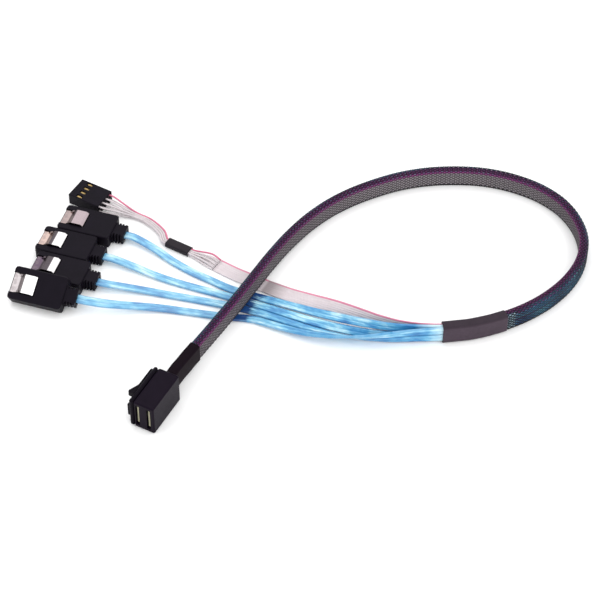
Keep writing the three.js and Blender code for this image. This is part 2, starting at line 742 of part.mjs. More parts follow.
function sidebandRibbon() {
  const across = bundleThick / 2 - ribbonThick / 2;
  const held = trunkMarks.slice(0, -2).map((mark) => trunkStation(mark, across));
  const free = [
    ...trunkMarks.slice(-2).map((mark) => trunkStation(mark, across)),
    ...ribbonPoints.map(([x, y, z, turn]) => station(x, y, z, turn)),
  ];
  return sweep([...held, ...smoothStations(free, cableStep)], ribbonSection);
}
addMesh(group, 'sideband_ribbon', sidebandRibbon(), 'ribbon');

// Sideband plug
const sideCentre = besideSata(across0.a + sataWidth + sideAside, -sideBehind);
const side = headingGroup(sideCentre.x, sideCentre.y, 0, sideHeading);
const sideWidth = sideColumns * sidePitch + 2 * sideSkin;
const sideHeight = sideRows * sidePitch + 2 * sideSkin;
const sideFront = sideLength / 2;
const columnPlace = (column) => (column - (sideColumns - 1) / 2) * sidePitch;
const rowPlace = (row) => sideHeight / 2 + (row - (sideRows - 1) / 2) * sidePitch;
const pinColumn = (pin) => Math.floor(pin / sideRows);
const pinRow = (pin) => sideRows - 1 - pin % sideRows; // the first of each column's pins is the upper one

function sidebandHousing() {
  const end = shifted(roundRect(sideWidth, sideHeight, sideCorner, cutPoints), 0, sideHeight / 2);
  let housing = prismX(end, -sideFront, sideFront, sideChamfer);
  const cell = cellSize / 2;
  const windowFront = sideFront - windowSetback;
  for (let row = 0; row < sideRows; row++) {
    for (let column = 0; column < sideColumns; column++) {
      const y = columnPlace(column);
      const z = rowPlace(row);
      housing = housing.subtract(block(-sideFront - overlap, sideFront + overlap,
        y - cell, y + cell, z - cell, z + cell));
      const [z0, z1] = row === 0 ? [-overlap, z] : [z, sideHeight + overlap];
      housing = housing.subtract(block(windowFront - windowLength, windowFront,
        y - windowWidth / 2, y + windowWidth / 2, z0, z1));
    }
  }
  return housing;
}

function crimpTerminal(row, column) {
  const y = columnPlace(column);
  const z = rowPlace(row);
  const front = sideFront - terminalSetback;
  const rear = front - terminalLength;
  const half = terminalSize / 2;
  const bore = terminalBore / 2;
  const box = shifted(roundRect(terminalSize, terminalSize, terminalCorner, cutPoints), y, z);
  const barrel = shifted(roundRect(crimpSize, crimpSize, crimpCorner, cutPoints), y, z);
  const out = row === 0 ? -1 : 1;
  const tabEdges = [z + out * (half - tabProud), z + out * (half + tabProud)];
  const tabFront = sideFront - windowSetback - tabSetback;
  return prismX(box, rear, front)
    .subtract(block(front - terminalDepth, front + overlap, y - bore, y + bore, z - bore, z + bore))
    .add(block(tabFront - tabLength, tabFront, y - tabWidth / 2, y + tabWidth / 2,
      Math.min(...tabEdges), Math.max(...tabEdges)))
    .add(prismX(barrel, rear - crimpLength, rear + crimpRoot));
}

addMesh(side, 'sideband_housing', geometryOf(sidebandHousing()), 'moulding');
for (let pin = 0; pin < sideRows * sideColumns; pin++) {
  const terminal = crimpTerminal(pinRow(pin), pinColumn(pin));
  addMesh(side, `sideband_terminal_${pin + 1}`, geometryOf(terminal), 'gold');
}
group.updateMatrixWorld(true);

// Single wires: from the ribbon's end, gathered two by four through a short tube, to the terminals
const wireSection = roundRect(wireDiameter, wireDiameter, wireDiameter * wireRound, cutPoints);
const shrinkLift = shrinkWall + lay;
const bundleMid = shrinkLift + wirePitch / 2 + wireDiameter / 2;
const shrinkEnd = [10.2, 80.8];
const shrinkAngle = THREE.MathUtils.degToRad(shrinkHeading);
const shrinkAlong = (distance) => [
  shrinkEnd[0] + distance * Math.cos(shrinkAngle), shrinkEnd[1] + distance * Math.sin(shrinkAngle)];
const wireFan = [17.6, 76.7];
const loomPoints = [[-1.2, 91.3], [-6.6, 97.6], [-12.5, 101.3]];

function wireStations(pin) {
  const column = pinColumn(pin) - (sideColumns - 1) / 2;
  const row = pinRow(pin) - (sideRows - 1) / 2;
  const lane = pin - (sideRows * sideColumns - 1) / 2;
  const [before, ribbonEnd] = ribbonPoints.slice(-2);
  const ground = ([x, y]) => new THREE.Vector3(x, y, 0);
  const centre = [ribbonEnd, wireFan, shrinkAlong(-wireLead), shrinkAlong(0), shrinkAlong(shrinkLength / 2),
    shrinkAlong(shrinkLength), shrinkAlong(shrinkLength + wireLead), ...loomPoints].map(ground);
  const points = centre.map((middle, i) => {
    const ahead = i === 0 ? ground(ribbonEnd).sub(ground(before))
      : centre[Math.min(i + 1, centre.length - 1)].clone().sub(centre[i - 1]);
    const tangent = ahead.normalize();
    const { right } = sideways(tangent);
    const across = i < 2 ? -lane * wirePitch : -column * wirePitch;
    const height = i === 0 ? ribbonEnd[2] + wireLift : bundleMid + row * wirePitch;
    const point = middle.clone().addScaledVector(right, across).addScaledVector(up, height);
    return { point: point.addScaledVector(tangent, i === 0 ? fit : 0), turn: 0 };
  });
  const crimpEnd = sideFront - terminalSetback - terminalLength - crimpLength - fit;
  for (const x of [-sideFront - wireStraight, -sideFront, crimpEnd]) {
    const point = new THREE.Vector3(x, columnPlace(pinColumn(pin)), rowPlace(pinRow(pin)));
    points.push({ point: side.localToWorld(point), turn: 0 });
  }
  return smoothStations(points, wireStep);
}

for (let pin = 0; pin < sideRows * sideColumns; pin++) {
  addMesh(group, `sideband_wire_${pin + 1}`, sweep(wireStations(pin), wireSection), 'wire');
}

// Short heat-shrink tube that gathers the wires
const gatherWidth = (sideColumns - 1) * wirePitch + wireDiameter + 2 * lay;
const gatherHeight = (sideRows - 1) * wirePitch + wireDiameter + 2 * lay;
const shrinkInner = roundRect(gatherWidth, gatherHeight, shrinkCorner, ringPoints);
const shrinkOuter = roundRect(gatherWidth + 2 * shrinkWall, gatherHeight + 2 * shrinkWall,
  shrinkCorner + shrinkWall, ringPoints);
const shrinkStations = [0, 0.5, 1].map((share) => {
  const [x, y] = shrinkAlong(share * shrinkLength);
  return station(x, y, bundleMid);
});
addMesh(group, 'sideband_shrink', sweep(shrinkStations, shrinkOuter, shrinkInner), 'shrink');

export default group;
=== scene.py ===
# A mini SAS breakout cable on a pale floor: woven sleeve, film-jacketed data cables, ribbon, single
# wires, heat-shrink and the finishes of the plugs. Metres, +Z up, z = 0 is the floor.
import math

import bpy
import numpy as np
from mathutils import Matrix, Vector


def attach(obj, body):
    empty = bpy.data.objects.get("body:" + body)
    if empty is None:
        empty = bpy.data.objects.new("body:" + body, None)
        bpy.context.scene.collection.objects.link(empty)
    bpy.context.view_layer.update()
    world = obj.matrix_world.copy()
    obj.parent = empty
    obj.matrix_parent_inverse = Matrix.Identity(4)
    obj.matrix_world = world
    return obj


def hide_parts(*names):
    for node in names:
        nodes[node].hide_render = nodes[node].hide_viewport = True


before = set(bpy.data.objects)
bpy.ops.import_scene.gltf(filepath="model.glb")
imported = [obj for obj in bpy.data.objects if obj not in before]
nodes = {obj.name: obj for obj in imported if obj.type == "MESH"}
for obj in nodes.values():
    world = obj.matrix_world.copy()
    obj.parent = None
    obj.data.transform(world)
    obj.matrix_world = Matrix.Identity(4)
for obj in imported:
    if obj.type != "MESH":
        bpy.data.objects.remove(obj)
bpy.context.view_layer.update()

MM = 0.001

# Camera, where the photograph was taken from
CAMERA_AIM = (53.2 * MM, 56.2 * MM, 0)
CAMERA_ELEVATION = 47
CAMERA_DISTANCE = 900 * MM
PIXELS_PER_MM = 2.6
FRAME_PIXELS = 600
SENSOR = 36

# Flat data cables, ribbon and single wires
CABLE_WIDTH = 3.5 * MM
CABLE_THICK = 1.1 * MM
RIBBON_WIDTH = 6.7 * MM
RIBBON_THICK = 0.5 * MM
WIRE_DIAMETER = 0.74 * MM
WIRE_PITCH = 0.83 * MM
FIT = 0.3 * MM
LAY = 0.13 * MM
CABLE_LEAD = 3 * MM  # a data cable runs straight for this far into its plug
WIRE_STRAIGHT = 1.5 * MM
CORD_STEP = 2 * MM
WIRE_STEP = 1 * MM
WIRE_SIDES = 12
WIRE_LIFT = 0.1  # millimetres from the ribbon's middle up to the wires'

# Braided sleeve and heat-shrink
SLEEVE_WALL = 0.2 * MM
TUBE_WALL = 0.22 * MM
BOOT_LENGTH = 18 * MM
BREAKOUT_LENGTH = 25 * MM
SLEEVE_ENTRY = 12 * MM
SLEEVE_CORNER = 0.6 * MM
SHRINK_LENGTH = 10.5 * MM
SHRINK_WALL = 0.25 * MM
SHRINK_CORNERS = (0.65 * MM, 0.4 * MM)  # outside and inside
SHRINK_STEPS = 24
TUBE_CORNERS = (1.0 * MM, 0.75 * MM)
TUBE_STEPS = 60
CARRIERS = 16  # bundles of strands that run each way round the sleeve
STRANDS = 2
STRAND_WIDTH = 0.23 * MM
STRAND_THICK = 0.17 * MM
BRAID_LIFT = 0.075 * MM  # how far a strand rises and dips at each crossing
BRAID_ANGLE = 35
STEPS_PER_CROSSING = 2

# Big plug
HD_HEADING = 242
HD_LENGTH = 19 * MM
HD_WIDTH = 13.4 * MM
HD_WALL = 1.2 * MM
HD_TRUNK_SHIFT = 0.6 * MM
HD_TRUNK_LEAD = 5 * MM  # the loom leaves the plug straight for this far
HD_CABLE_INSERT = 4 * MM
CARD_THICK = 1 * MM
CARD_PITCH = 4.6 * MM
CARD_MASK = 0.04 * MM
FINGER_RISE = 0.015 * MM
CARD_GOLD = ((0.72, 0.47, 0.16), (0.9, 0.66, 0.3))

# SATA plugs
SATA_WIDTH = 13.2 * MM
SATA_HEIGHT = 5.6 * MM
SATA_LENGTH = 21.7 * MM
SATA_NECK_LENGTH = 4.8 * MM
SATA_NECK_DROP = 0.7 * MM
SATA_CABLE_INSERT = 3 * MM
SATA_HEADING = 162.4
SATA_LEAN = 28
SATA_CORNER = (-58.3 * MM, 55.5 * MM)
SATA_STAGGER = {"d": 0, "c": 3 * MM, "b": 0.5 * MM, "a": 4.4 * MM}
LEAF_BEND = -3.4 * MM  # where a spring leaf starts to rise, from the plug's mouth
LEAF_PAD = -4.9 * MM  # and where its raised pad starts
LEAF_SOFT = 0.3 * MM
SATA_CONTACTS_FOOT = 1.45 * MM
SATA_CONTACTS_TOP = 1.95 * MM
CONTACT_SPARE = 0.1 * MM
CONTACT_PITCH = 1.27 * MM
CONTACT_WIDTH = 0.5 * MM
CONTACT_SHIFT = 0.55 * MM

# Sideband plug, 2 x 4
SIDE_HEADING = 150
SIDE_ASIDE = 9.06 * MM  # from the farthest SATA plug's side to the middle of this housing
SIDE_BEHIND = 10.02 * MM
SIDE_PITCH = 2.54 * MM
SIDE_COLUMNS = 4
SIDE_ROWS = 2
SIDE_LENGTH = 14 * MM
SIDE_HEIGHT = 5.12 * MM
SIDE_CRIMP_END = 10.5 * MM  # from the mouth to where the wires meet their crimps
SHRINK_HEADING = 149

BUNDLE_HEIGHT = 2 * CABLE_WIDTH + LAY
BUNDLE_THICK = 2 * CABLE_THICK + RIBBON_THICK + 2 * LAY
SLEEVE_HEIGHT = BUNDLE_HEIGHT + 2 * (LAY + SLEEVE_WALL)
SLEEVE_THICK = BUNDLE_THICK + 2 * (LAY + SLEEVE_WALL)
TUBE_GROW = 2 * (LAY + TUBE_WALL)
PAIR_SHIFT = (RIBBON_THICK + LAY) / 2

# The loom's route, [x, y, lift over the floor], in millimetres
TRUNK_ROUTE = [
    [12.4, 21.2, 2.6], [18.5, 31.2, 2.5], [24.4, 41, 2.4], [30.3, 51, 2.3], [36, 61.3, 2.1],
    [42, 72.3, 1.6], [48.6, 83.3, 0.9], [56.3, 93.7, 0.3], [64.5, 102, 0], [73.5, 108.5, 0],
    [83.5, 113.8, 0], [93.5, 117.8, 0], [104.5, 120.3, 0], [115.5, 121, 0], [125.5, 120.3, 0],
    [134, 118.3, 0], [142, 115, 0], [149.5, 110.4, 0], [157.3, 102.5, 0], [162.4, 92, 0],
    [163.9, 81.3, 0], [161.5, 70.8, 0], [155.9, 61, 0], [148, 52.6, 0], [139, 46, 0.1],
    [130, 41.3, 0.3], [118.5, 37.4, 0.38], [106.8, 35.7, 0.38],
]
TRUNK_MARKS = 44

# Past the breakout two pairs of cables open like a book, [x, y, lift, opening in degrees]
FAN_ROUTE = [
    [98, 35.2, 0.5, 86], [88, 35.1, 0.25, 76], [78, 36, 0.12, 58], [68, 38.3, 0.06, 38],
    [58, 41.9, 0.05, 20], [47, 46.7, 0.05, 7], [37, 51, 0.05, 0],
]
FAN_SPREAD = 0.4 * MM

# Each cable's free run to its plug, [x, y, height]
CABLE_ROUTES = {
    "a": [[26.5, 61.4, 0.6], [18.3, 66.2, 0.6], [10.5, 71, 0.65], [3.3, 76.3, 0.8], [-3.4, 82, 1.5]],
    "b": [[26, 57.3, 0.6], [18.5, 60, 0.6], [10.7, 62.8, 0.6], [3, 65.8, 0.65], [-4, 68.9, 0.9],
          [-11, 72.2, 1.6]],
    "c": [[26, 52.6, 0.6], [18, 54.6, 0.6], [10, 56.6, 0.6], [2.5, 58.3, 0.65], [-5, 60, 0.9],
          [-13, 61.2, 1.7]],
    "d": [[25, 46.9, 0.6], [16, 48.4, 0.6], [8, 49.8, 0.7], [0, 50.9, 1.1], [-8, 51, 2],
          [-16, 50.4, 3.5], [-22.5, 50, 4.9]],
}
CABLE_SIDES = {"a": 1, "b": 1, "c": -1, "d": -1}
CABLE_RANKS = {"a": 1, "b": 0, "c": 0, "d": 1}

# The ribbon past the breakout, [x, y, height, turn]
RIBBON_ROUTE = [
    [98, 37.6, 3.95, 88], [90, 39, 3.8, 80], [82, 41.8, 3.55, 68], [74, 45.7, 3.05, 52],
    [66, 49.9, 2.3, 35], [58, 53.9, 1.4, 18], [49.5, 58.2, 0.65, 5], [41, 62.6, 0.4, 0],
    [34, 66.4, 0.36, 0], [27.5, 70.1, 0.36, 0], [21, 74.4, 0.36, 0],
]

# The single wires' middle line, [x, y]: fanned off the ribbon, through the tube, then to the plug
WIRE_FAN = [17.6, 76.7]
SHRINK_END = [10.2, 80.8]
WIRE_ROUTE = [[-1.2, 91.3], [-6.6, 97.6], [-12.5, 101.3]]
WIRE_LEAD = 1.2 * MM
CROSSING = (30.3 * MM, 51 * MM, 0)  # a point of the loom where it passes over the fan of cables
CROSSING_HEADING = -29  # square to the loom there, towards the breakout

# Painted shadow of the loom, on what it crosses beside it: where that starts, is full, fades and ends
FILM_LOOM_SHADOW = (-3 * MM, -1 * MM, 3.6 * MM, 5.6 * MM)
RIBBON_LOOM_SHADOW = (1.8 * MM, 2.8 * MM, 5 * MM, 12 * MM)
CROSSING_UNEVEN = 20 * MM

# The film's pale stretches, from the breakout, its darker rim and web, and its wrap's turns
PALE_AT_BREAKOUT = (2 * MM, 9 * MM)
PALE_TO_PLUG = (70 * MM, 100 * MM)
FILM_RIM = 0.33 * MM
FILM_WEB = 0.2 * MM
WRAP_ALONG = 1500  # radians for a metre
WRAP_ACROSS = 900

Z = np.array([0.0, 0.0, 1.0])


def unit(v):
    return v / np.maximum(np.linalg.norm(v, axis=-1, keepdims=True), 1e-12)


def heading(degrees):
    return np.array([math.cos(math.radians(degrees)), math.sin(math.radians(degrees)), 0.0])


def sideways(tangents):
    """The right-hand side of a direction, level with the floor, and the rise square to both."""
    right = unit(np.cross(tangents, Z))
    return right, np.cross(right, tangents)


class Spline:
    """A centripetal Catmull-Rom curve through chosen points."""

    def __init__(self, points):
        p = np.array(points, float)
        self.spans = len(p) - 1
        self.points = np.vstack([2 * p[0] - p[1], p, 2 * p[-1] - p[-2]])
        self.places = np.linspace(0, self.spans, self.spans * 40 + 1)
        steps = np.linalg.norm(np.diff(self.at(self.places), axis=0), axis=1)
        self.along = np.concatenate([[0], np.cumsum(steps)])
        self.length = self.along[-1]

    def at(self, places):
        """Points at places, where a whole number is a chosen point."""
        t = np.clip(np.atleast_1d(np.asarray(places, float)), 0, self.spans)
        i = np.minimum(t.astype(int), self.spans - 1)
        w = (t - i)[:, None]
        p0, p1, p2, p3 = (self.points[i + k] for k in range(4))
        d0, d1, d2 = (np.sqrt(np.linalg.norm(b - a, axis=1))[:, None]
                      for a, b in ((p0, p1), (p1, p2), (p2, p3)))
        m1 = ((p1 - p0) / d0 - (p2 - p0) / (d0 + d1) + (p2 - p1) / d1) * d1
        m2 = ((p2 - p1) / d1 - (p3 - p1) / (d1 + d2) + (p3 - p2) / d2) * d1
        curl = -3 * p1 + 3 * p2 - 2 * m1 - m2
        return p1 + m1 * w + curl * w ** 2 + (2 * p1 - 2 * p2 + m1 + m2) * w ** 3

    def place(self, distances):
        return np.interp(distances, self.along, self.places)


def frames(points, turns):
    """For each point of a route: its tangent, and the section's two directions."""
    before = np.vstack([points[:1], points[:-1]])
    after = np.vstack([points[1:], points[-1:]])
    tangents = unit(after - before)
    right, rise = sideways(tangents)
    turn = np.radians(turns)[:, None]
    normals = right * np.cos(turn) + rise * np.sin(turn)
    return tangents, normals, np.cross(tangents, normals)


def smooth_route(points, turns, spacing):
    """A finer route through chosen points, whose turn runs evenly between them."""
    curve = Spline(points)
    places = [0.0]
    for i in range(curve.spans):
        span = np.linalg.norm(np.subtract(points[i + 1], points[i]))
        parts = max(1, round(span / spacing))
        places += [i + (j + 1) / parts for j in range(parts)]
    return curve.at(places), np.interp(places, np.arange(len(turns)), turns)


# Places of the plugs
def hd_point(x, y=HD_TRUNK_SHIFT, z=HD_WIDTH / 2):
    forward = heading(HD_HEADING)
    left = np.cross(Z, forward)
    return forward * x + left * y + Z * z


LEAN_REACH = (SATA_HEIGHT + FIT) / math.tan(math.radians(SATA_LEAN))
SATA_ACROSS = {"d": 0, "c": LEAN_REACH, "b": LEAN_REACH + SATA_WIDTH + FIT,
               "a": LEAN_REACH + 2 * (SATA_WIDTH + FIT)}


def beside_sata(across, along):
    """A point on the floor, across and forward from the nearest plug's near front corner."""
    forward = heading(SATA_HEADING)
    return np.array([*SATA_CORNER, 0]) + np.cross(forward, Z) * across + forward * along


def sata_corner(name):
    return beside_sata(SATA_ACROSS[name], -SATA_STAGGER[name])


def sata_lean(name):
    return SATA_LEAN if name == "d" else 0


def sata_point(name, x, y, z):
    """A point of a SATA plug: x to its mouth, y across from its middle, z up from its lower face."""
    lean = math.radians(sata_lean(name))
    forward = heading(SATA_HEADING)
    left = np.cross(Z, forward) * math.cos(lean) - Z * math.sin(lean)
    rise = np.cross(forward, left)
    return sata_corner(name) + forward * x + left * (y - SATA_WIDTH / 2) + rise * z


def side_point(x, y, z):
    forward = heading(SIDE_HEADING)
    centre = beside_sata(SATA_ACROSS["a"] + SATA_WIDTH + SIDE_ASIDE, -SIDE_BEHIND)
    return centre + forward * x + np.cross(Z, forward) * y + Z * z


# Routes
trunk = Spline([hd_point(-HD_LENGTH / 2 + HD_CABLE_INSERT), hd_point(-HD_LENGTH / 2),
                hd_point(-HD_LENGTH / 2 - HD_TRUNK_LEAD)]
               + [[x * MM, y * MM, SLEEVE_HEIGHT / 2 + lift * MM] for x, y, lift in TRUNK_ROUTE])
trunk_marks = np.arange(TRUNK_MARKS + 1) * trunk.length / TRUNK_MARKS


def trunk_points(distances, across=0.0, rise=0.0):
    """Points along the loom, moved towards its inner side and up."""
    places = trunk.place(distances)
    nudge = 0.001
    tangents = unit(trunk.at(places + nudge) - trunk.at(places - nudge))
    right, up = sideways(tangents)
    return trunk.at(places) + right * across + up * rise


def on_edge(points):
    return np.full(len(points), 90.0)


def fan_point(index, name):
    x, y, lift, opening = FAN_ROUTE[index]
    before, after = FAN_ROUTE[max(index - 1, 0)], FAN_ROUTE[min(index + 1, len(FAN_ROUTE) - 1)]
    right, _ = sideways(unit(np.array([after[0] - before[0], after[1] - before[1], 0.0])))
    angle = math.radians(opening)
    side = CABLE_SIDES[name]
    arm = CABLE_WIDTH / 2 + CABLE_RANKS[name] * (CABLE_WIDTH + LAY + FAN_SPREAD * math.cos(angle))
    out = LAY / 2 + math.sin(angle) * CABLE_THICK / 2 + arm * math.cos(angle)
    height = lift * MM + arm * math.sin(angle) + math.cos(angle) * CABLE_THICK / 2
    point = np.array([x * MM, y * MM, height]) + right * side * out
    return point, opening if side > 0 else 180 - opening


def cable_route(name):
    """A data cable's middle line from the big plug to its own, and the turn of its section."""
    across = CABLE_SIDES[name] * (CABLE_THICK + LAY) / 2 - PAIR_SHIFT
    rise = (CABLE_RANKS[name] - 0.5) * (CABLE_WIDTH + LAY)
    held = trunk_points(np.arange(0, trunk_marks[-2], CORD_STEP), across, rise)
    points = list(trunk_points(trunk_marks[-2:], across, rise))
    turns = [90, 90]
    for index in range(len(FAN_ROUTE)):
        point, turn = fan_point(index, name)
        points.append(point)
        turns.append(turn)
    flat = 0 if CABLE_SIDES[name] > 0 else 180
    run = CABLE_ROUTES[name]
    for i, (x, y, z) in enumerate(run):
        points.append(np.array([x, y, z]) * MM)
        turns.append(flat + sata_lean(name) * (i / (len(run) - 1)) ** 3)
    rear = -SATA_LENGTH - SATA_NECK_LENGTH
    for x in (rear - CABLE_LEAD, rear, rear + SATA_CABLE_INSERT - FIT):
        points.append(sata_point(name, x, 0, (SATA_HEIGHT - SATA_NECK_DROP) / 2))
        turns.append(flat + sata_lean(name))
    free, free_turns = smooth_route(points, turns, CORD_STEP)
    return np.vstack([held, free]), np.concatenate([on_edge(held), free_turns])


def ribbon_route():
    across = BUNDLE_THICK / 2 - RIBBON_THICK / 2
    held = trunk_points(np.arange(0, trunk_marks[-2], CORD_STEP), across)
    points = list(trunk_points(trunk_marks[-2:], across))
    points += [[x * MM, y * MM, z * MM] for x, y, z, _ in RIBBON_ROUTE]
    turns = [90, 90] + [turn for *_, turn in RIBBON_ROUTE]
    free, free_turns = smooth_route(points, turns, CORD_STEP)
    return np.vstack([held, free]), np.concatenate([on_edge(held), free_turns])


def shrink_along(distance):
    return np.array([SHRINK_END[0] * MM, SHRINK_END[1] * MM, 0]) + heading(SHRINK_HEADING) * distance


wire_bundle_mid = SHRINK_WALL + LAY + WIRE_PITCH / 2 + WIRE_DIAMETER / 2


def wire_route(pin):
    column = pin // SIDE_ROWS - (SIDE_COLUMNS - 1) / 2
    row = (SIDE_ROWS - 1) / 2 - pin % SIDE_ROWS  # the first of each column's pins is the upper one
    lane = pin - (SIDE_ROWS * SIDE_COLUMNS - 1) / 2
    end, before_end = (np.array([r[0], r[1], 0]) * MM for r in (RIBBON_ROUTE[-1], RIBBON_ROUTE[-2]))
    centre = [end, np.array([*WIRE_FAN, 0]) * MM]
    centre += [shrink_along(distance) for distance in (-WIRE_LEAD, 0, SHRINK_LENGTH / 2, SHRINK_LENGTH,
                                                       SHRINK_LENGTH + WIRE_LEAD)]
    centre += [np.array([x, y, 0]) * MM for x, y in WIRE_ROUTE]
    points = []
    for i, middle in enumerate(centre):
        ahead = centre[min(i + 1, len(centre) - 1)] - centre[max(i - 1, 0)] if i else end - before_end
        tangent = unit(ahead)
        right, _ = sideways(tangent)
        across = -lane * WIRE_PITCH if i < 2 else -column * WIRE_PITCH
        height = wire_bundle_mid + row * WIRE_PITCH if i else (RIBBON_ROUTE[-1][2] + WIRE_LIFT) * MM
        points.append(middle + right * across + Z * height + tangent * (0 if i else FIT))
    y = column * SIDE_PITCH
    z = SIDE_HEIGHT / 2 + row * SIDE_PITCH
    for x in (-SIDE_LENGTH / 2 - WIRE_STRAIGHT, -SIDE_LENGTH / 2, SIDE_LENGTH / 2 - SIDE_CRIMP_END):
        points.append(side_point(x, y, z))
    return smooth_route(points, [0] * len(points), WIRE_STEP)


# Sections, as points [along the section's first direction, along its second]
def round_rect(width, height, radius, per_corner):
    points = []
    for quarter, (sx, sy) in enumerate([(1, 1), (-1, 1), (-1, -1), (1, -1)]):
        for i in range(per_corner):
            angle = (quarter + i / (per_corner - 1)) * math.pi / 2
            points.append([sx * (width / 2 - radius) + radius * math.cos(angle),
                           sy * (height / 2 - radius) + radius * math.sin(angle)])
    return np.array(points)


def lobed(width, height, lobes, waist, per_lobe):
    """A flat cable's section: a row of round cores with a waist between each two."""
    pitch = width / lobes
    xs = np.linspace(-width / 2, width / 2, lobes * per_lobe + 1)
    within = (xs + width / 2) / pitch % 1
    crown = np.sqrt(np.clip(1 - (2 * within - 1) ** 2, 0, 1))
    half = height / 2 * (waist + (1 - waist) * crown)
    half[0] = half[-1] = 0
    upper = np.stack([xs, half], axis=1)[::-1]
    lower = np.stack([xs, -half], axis=1)[1:-1]
    return np.vstack([upper, lower])


def ring_of(points, turns, section):
    """The section's points at each point of a route."""
    _, normals, binormals = frames(points, turns)
    return (points[:, None] + section[None, :, :1] * normals[:, None]
            + section[None, :, 1:] * binormals[:, None])


# Meshes
def add_mesh(name, vertices, faces, material, smooth=True):
    mesh = bpy.data.meshes.new(name)
    mesh.from_pydata([tuple(v) for v in vertices], [], [tuple(f) for f in faces])
    mesh.materials.append(material)
    mesh.polygons.foreach_set("use_smooth", [smooth] * len(mesh.polygons))
    mesh.update()
    piece = bpy.data.objects.new(name, mesh)
    bpy.context.scene.collection.objects.link(piece)
    return piece


def grid_faces(rings, around, start=0, flip=False):
    """Quads between rings of so many points, closed around."""
    i = np.arange(rings - 1)[:, None] * around
    j = np.arange(around)[None, :]
    k = (j + 1) % around
    a, b, c, d = i + j, i + k, i + around + k, i + around + j
    quads = np.stack([a, d, c, b] if flip else [a, b, c, d], axis=-1).reshape(-1, 4) + start
    return quads.tolist()


def distances_along(points):
    return np.concatenate([[0], np.cumsum(np.linalg.norm(np.diff(points, axis=0), axis=1))])


def lay_map(piece, name, first, second):
    """Stores two lengths for each vertex, in metres, as a UV layer."""
    layer = piece.data.uv_layers.new(name=name)
    index = np.zeros(len(piece.data.loops), int)
    piece.data.loops.foreach_get("vertex_index", index)
    uv = np.stack([np.asarray(first)[index], np.asarray(second)[index]], axis=1)
    layer.data.foreach_set("uv", uv.ravel())


def sweep(name, route, section, material):
    """A closed solid of a section along a route, with the route's own map."""
    points, turns = route
    rings = ring_of(points, turns, section)
    count, around = rings.shape[:2]
    faces = grid_faces(count, around)
    faces.append(list(range(around))[::-1])
    faces.append(list(range((count - 1) * around, count * around)))
    piece = add_mesh(name, rings.reshape(-1, 3), faces, material)
    along = distances_along(points)
    lay_map(piece, "route", np.repeat(along, around), np.tile(section[:, 0], count))
    return piece


def tube(name, route, outer, inner, material, relief):
    """A closed ring-shaped solid along a route. relief moves the outer skin out, by place."""
    points, turns = route
    count, around = len(points), len(outer)
    skin = ring_of(points, turns, outer)
    out = unit(skin - points[:, None])
    skin = skin + out * relief(skin)[..., None]
    bore = ring_of(points, turns, inner)
    vertices = np.vstack([skin.reshape(-1, 3), bore.reshape(-1, 3)])
    faces = grid_faces(count, around) + grid_faces(count, around, start=count * around, flip=True)
    for ring, flip in ((0, True), (count - 1, False)):
        for j in range(around):
            k = (j + 1) % around
            a, b = ring * around + j, ring * around + k
            c, d = b + count * around, a + count * around
            faces.append([a, d, c, b] if flip else [a, b, c, d])
    if is_inward(vertices, faces):
        faces = [f[::-1] for f in faces]
    piece = add_mesh(name, vertices, faces, material)
    along = distances_along(points)
    both = np.concatenate([np.repeat(along, around)] * 2)
    heights = np.concatenate([np.tile(outer[:, 0], count), np.tile(inner[:, 0], count)])
    lay_map(piece, "route", both, heights)
    return piece


def is_inward(vertices, quads):
    """Whether a closed solid's faces look into it."""
    p = vertices[np.array(quads)] - vertices.mean(axis=0)
    halves = np.cross(p[:, 1], p[:, 2]) + np.cross(p[:, 2], p[:, 3])
    return (p[:, 0] * halves).sum() < 0


def waves(places, scale, seed):
    """A smooth, repeatable unevenness of about -1 to 1 at places in space."""
    rng = np.random.default_rng(seed)
    total = np.zeros(places.shape[:-1])
    for _ in range(7):
        direction = unit(rng.normal(size=3)) * 2 * math.pi / scale * rng.uniform(0.5, 1.6)
        total += np.sin(places @ direction + rng.uniform(0, 2 * math.pi))
    return total / 4


# Materials
COAT_ROUGHNESS = 0.1


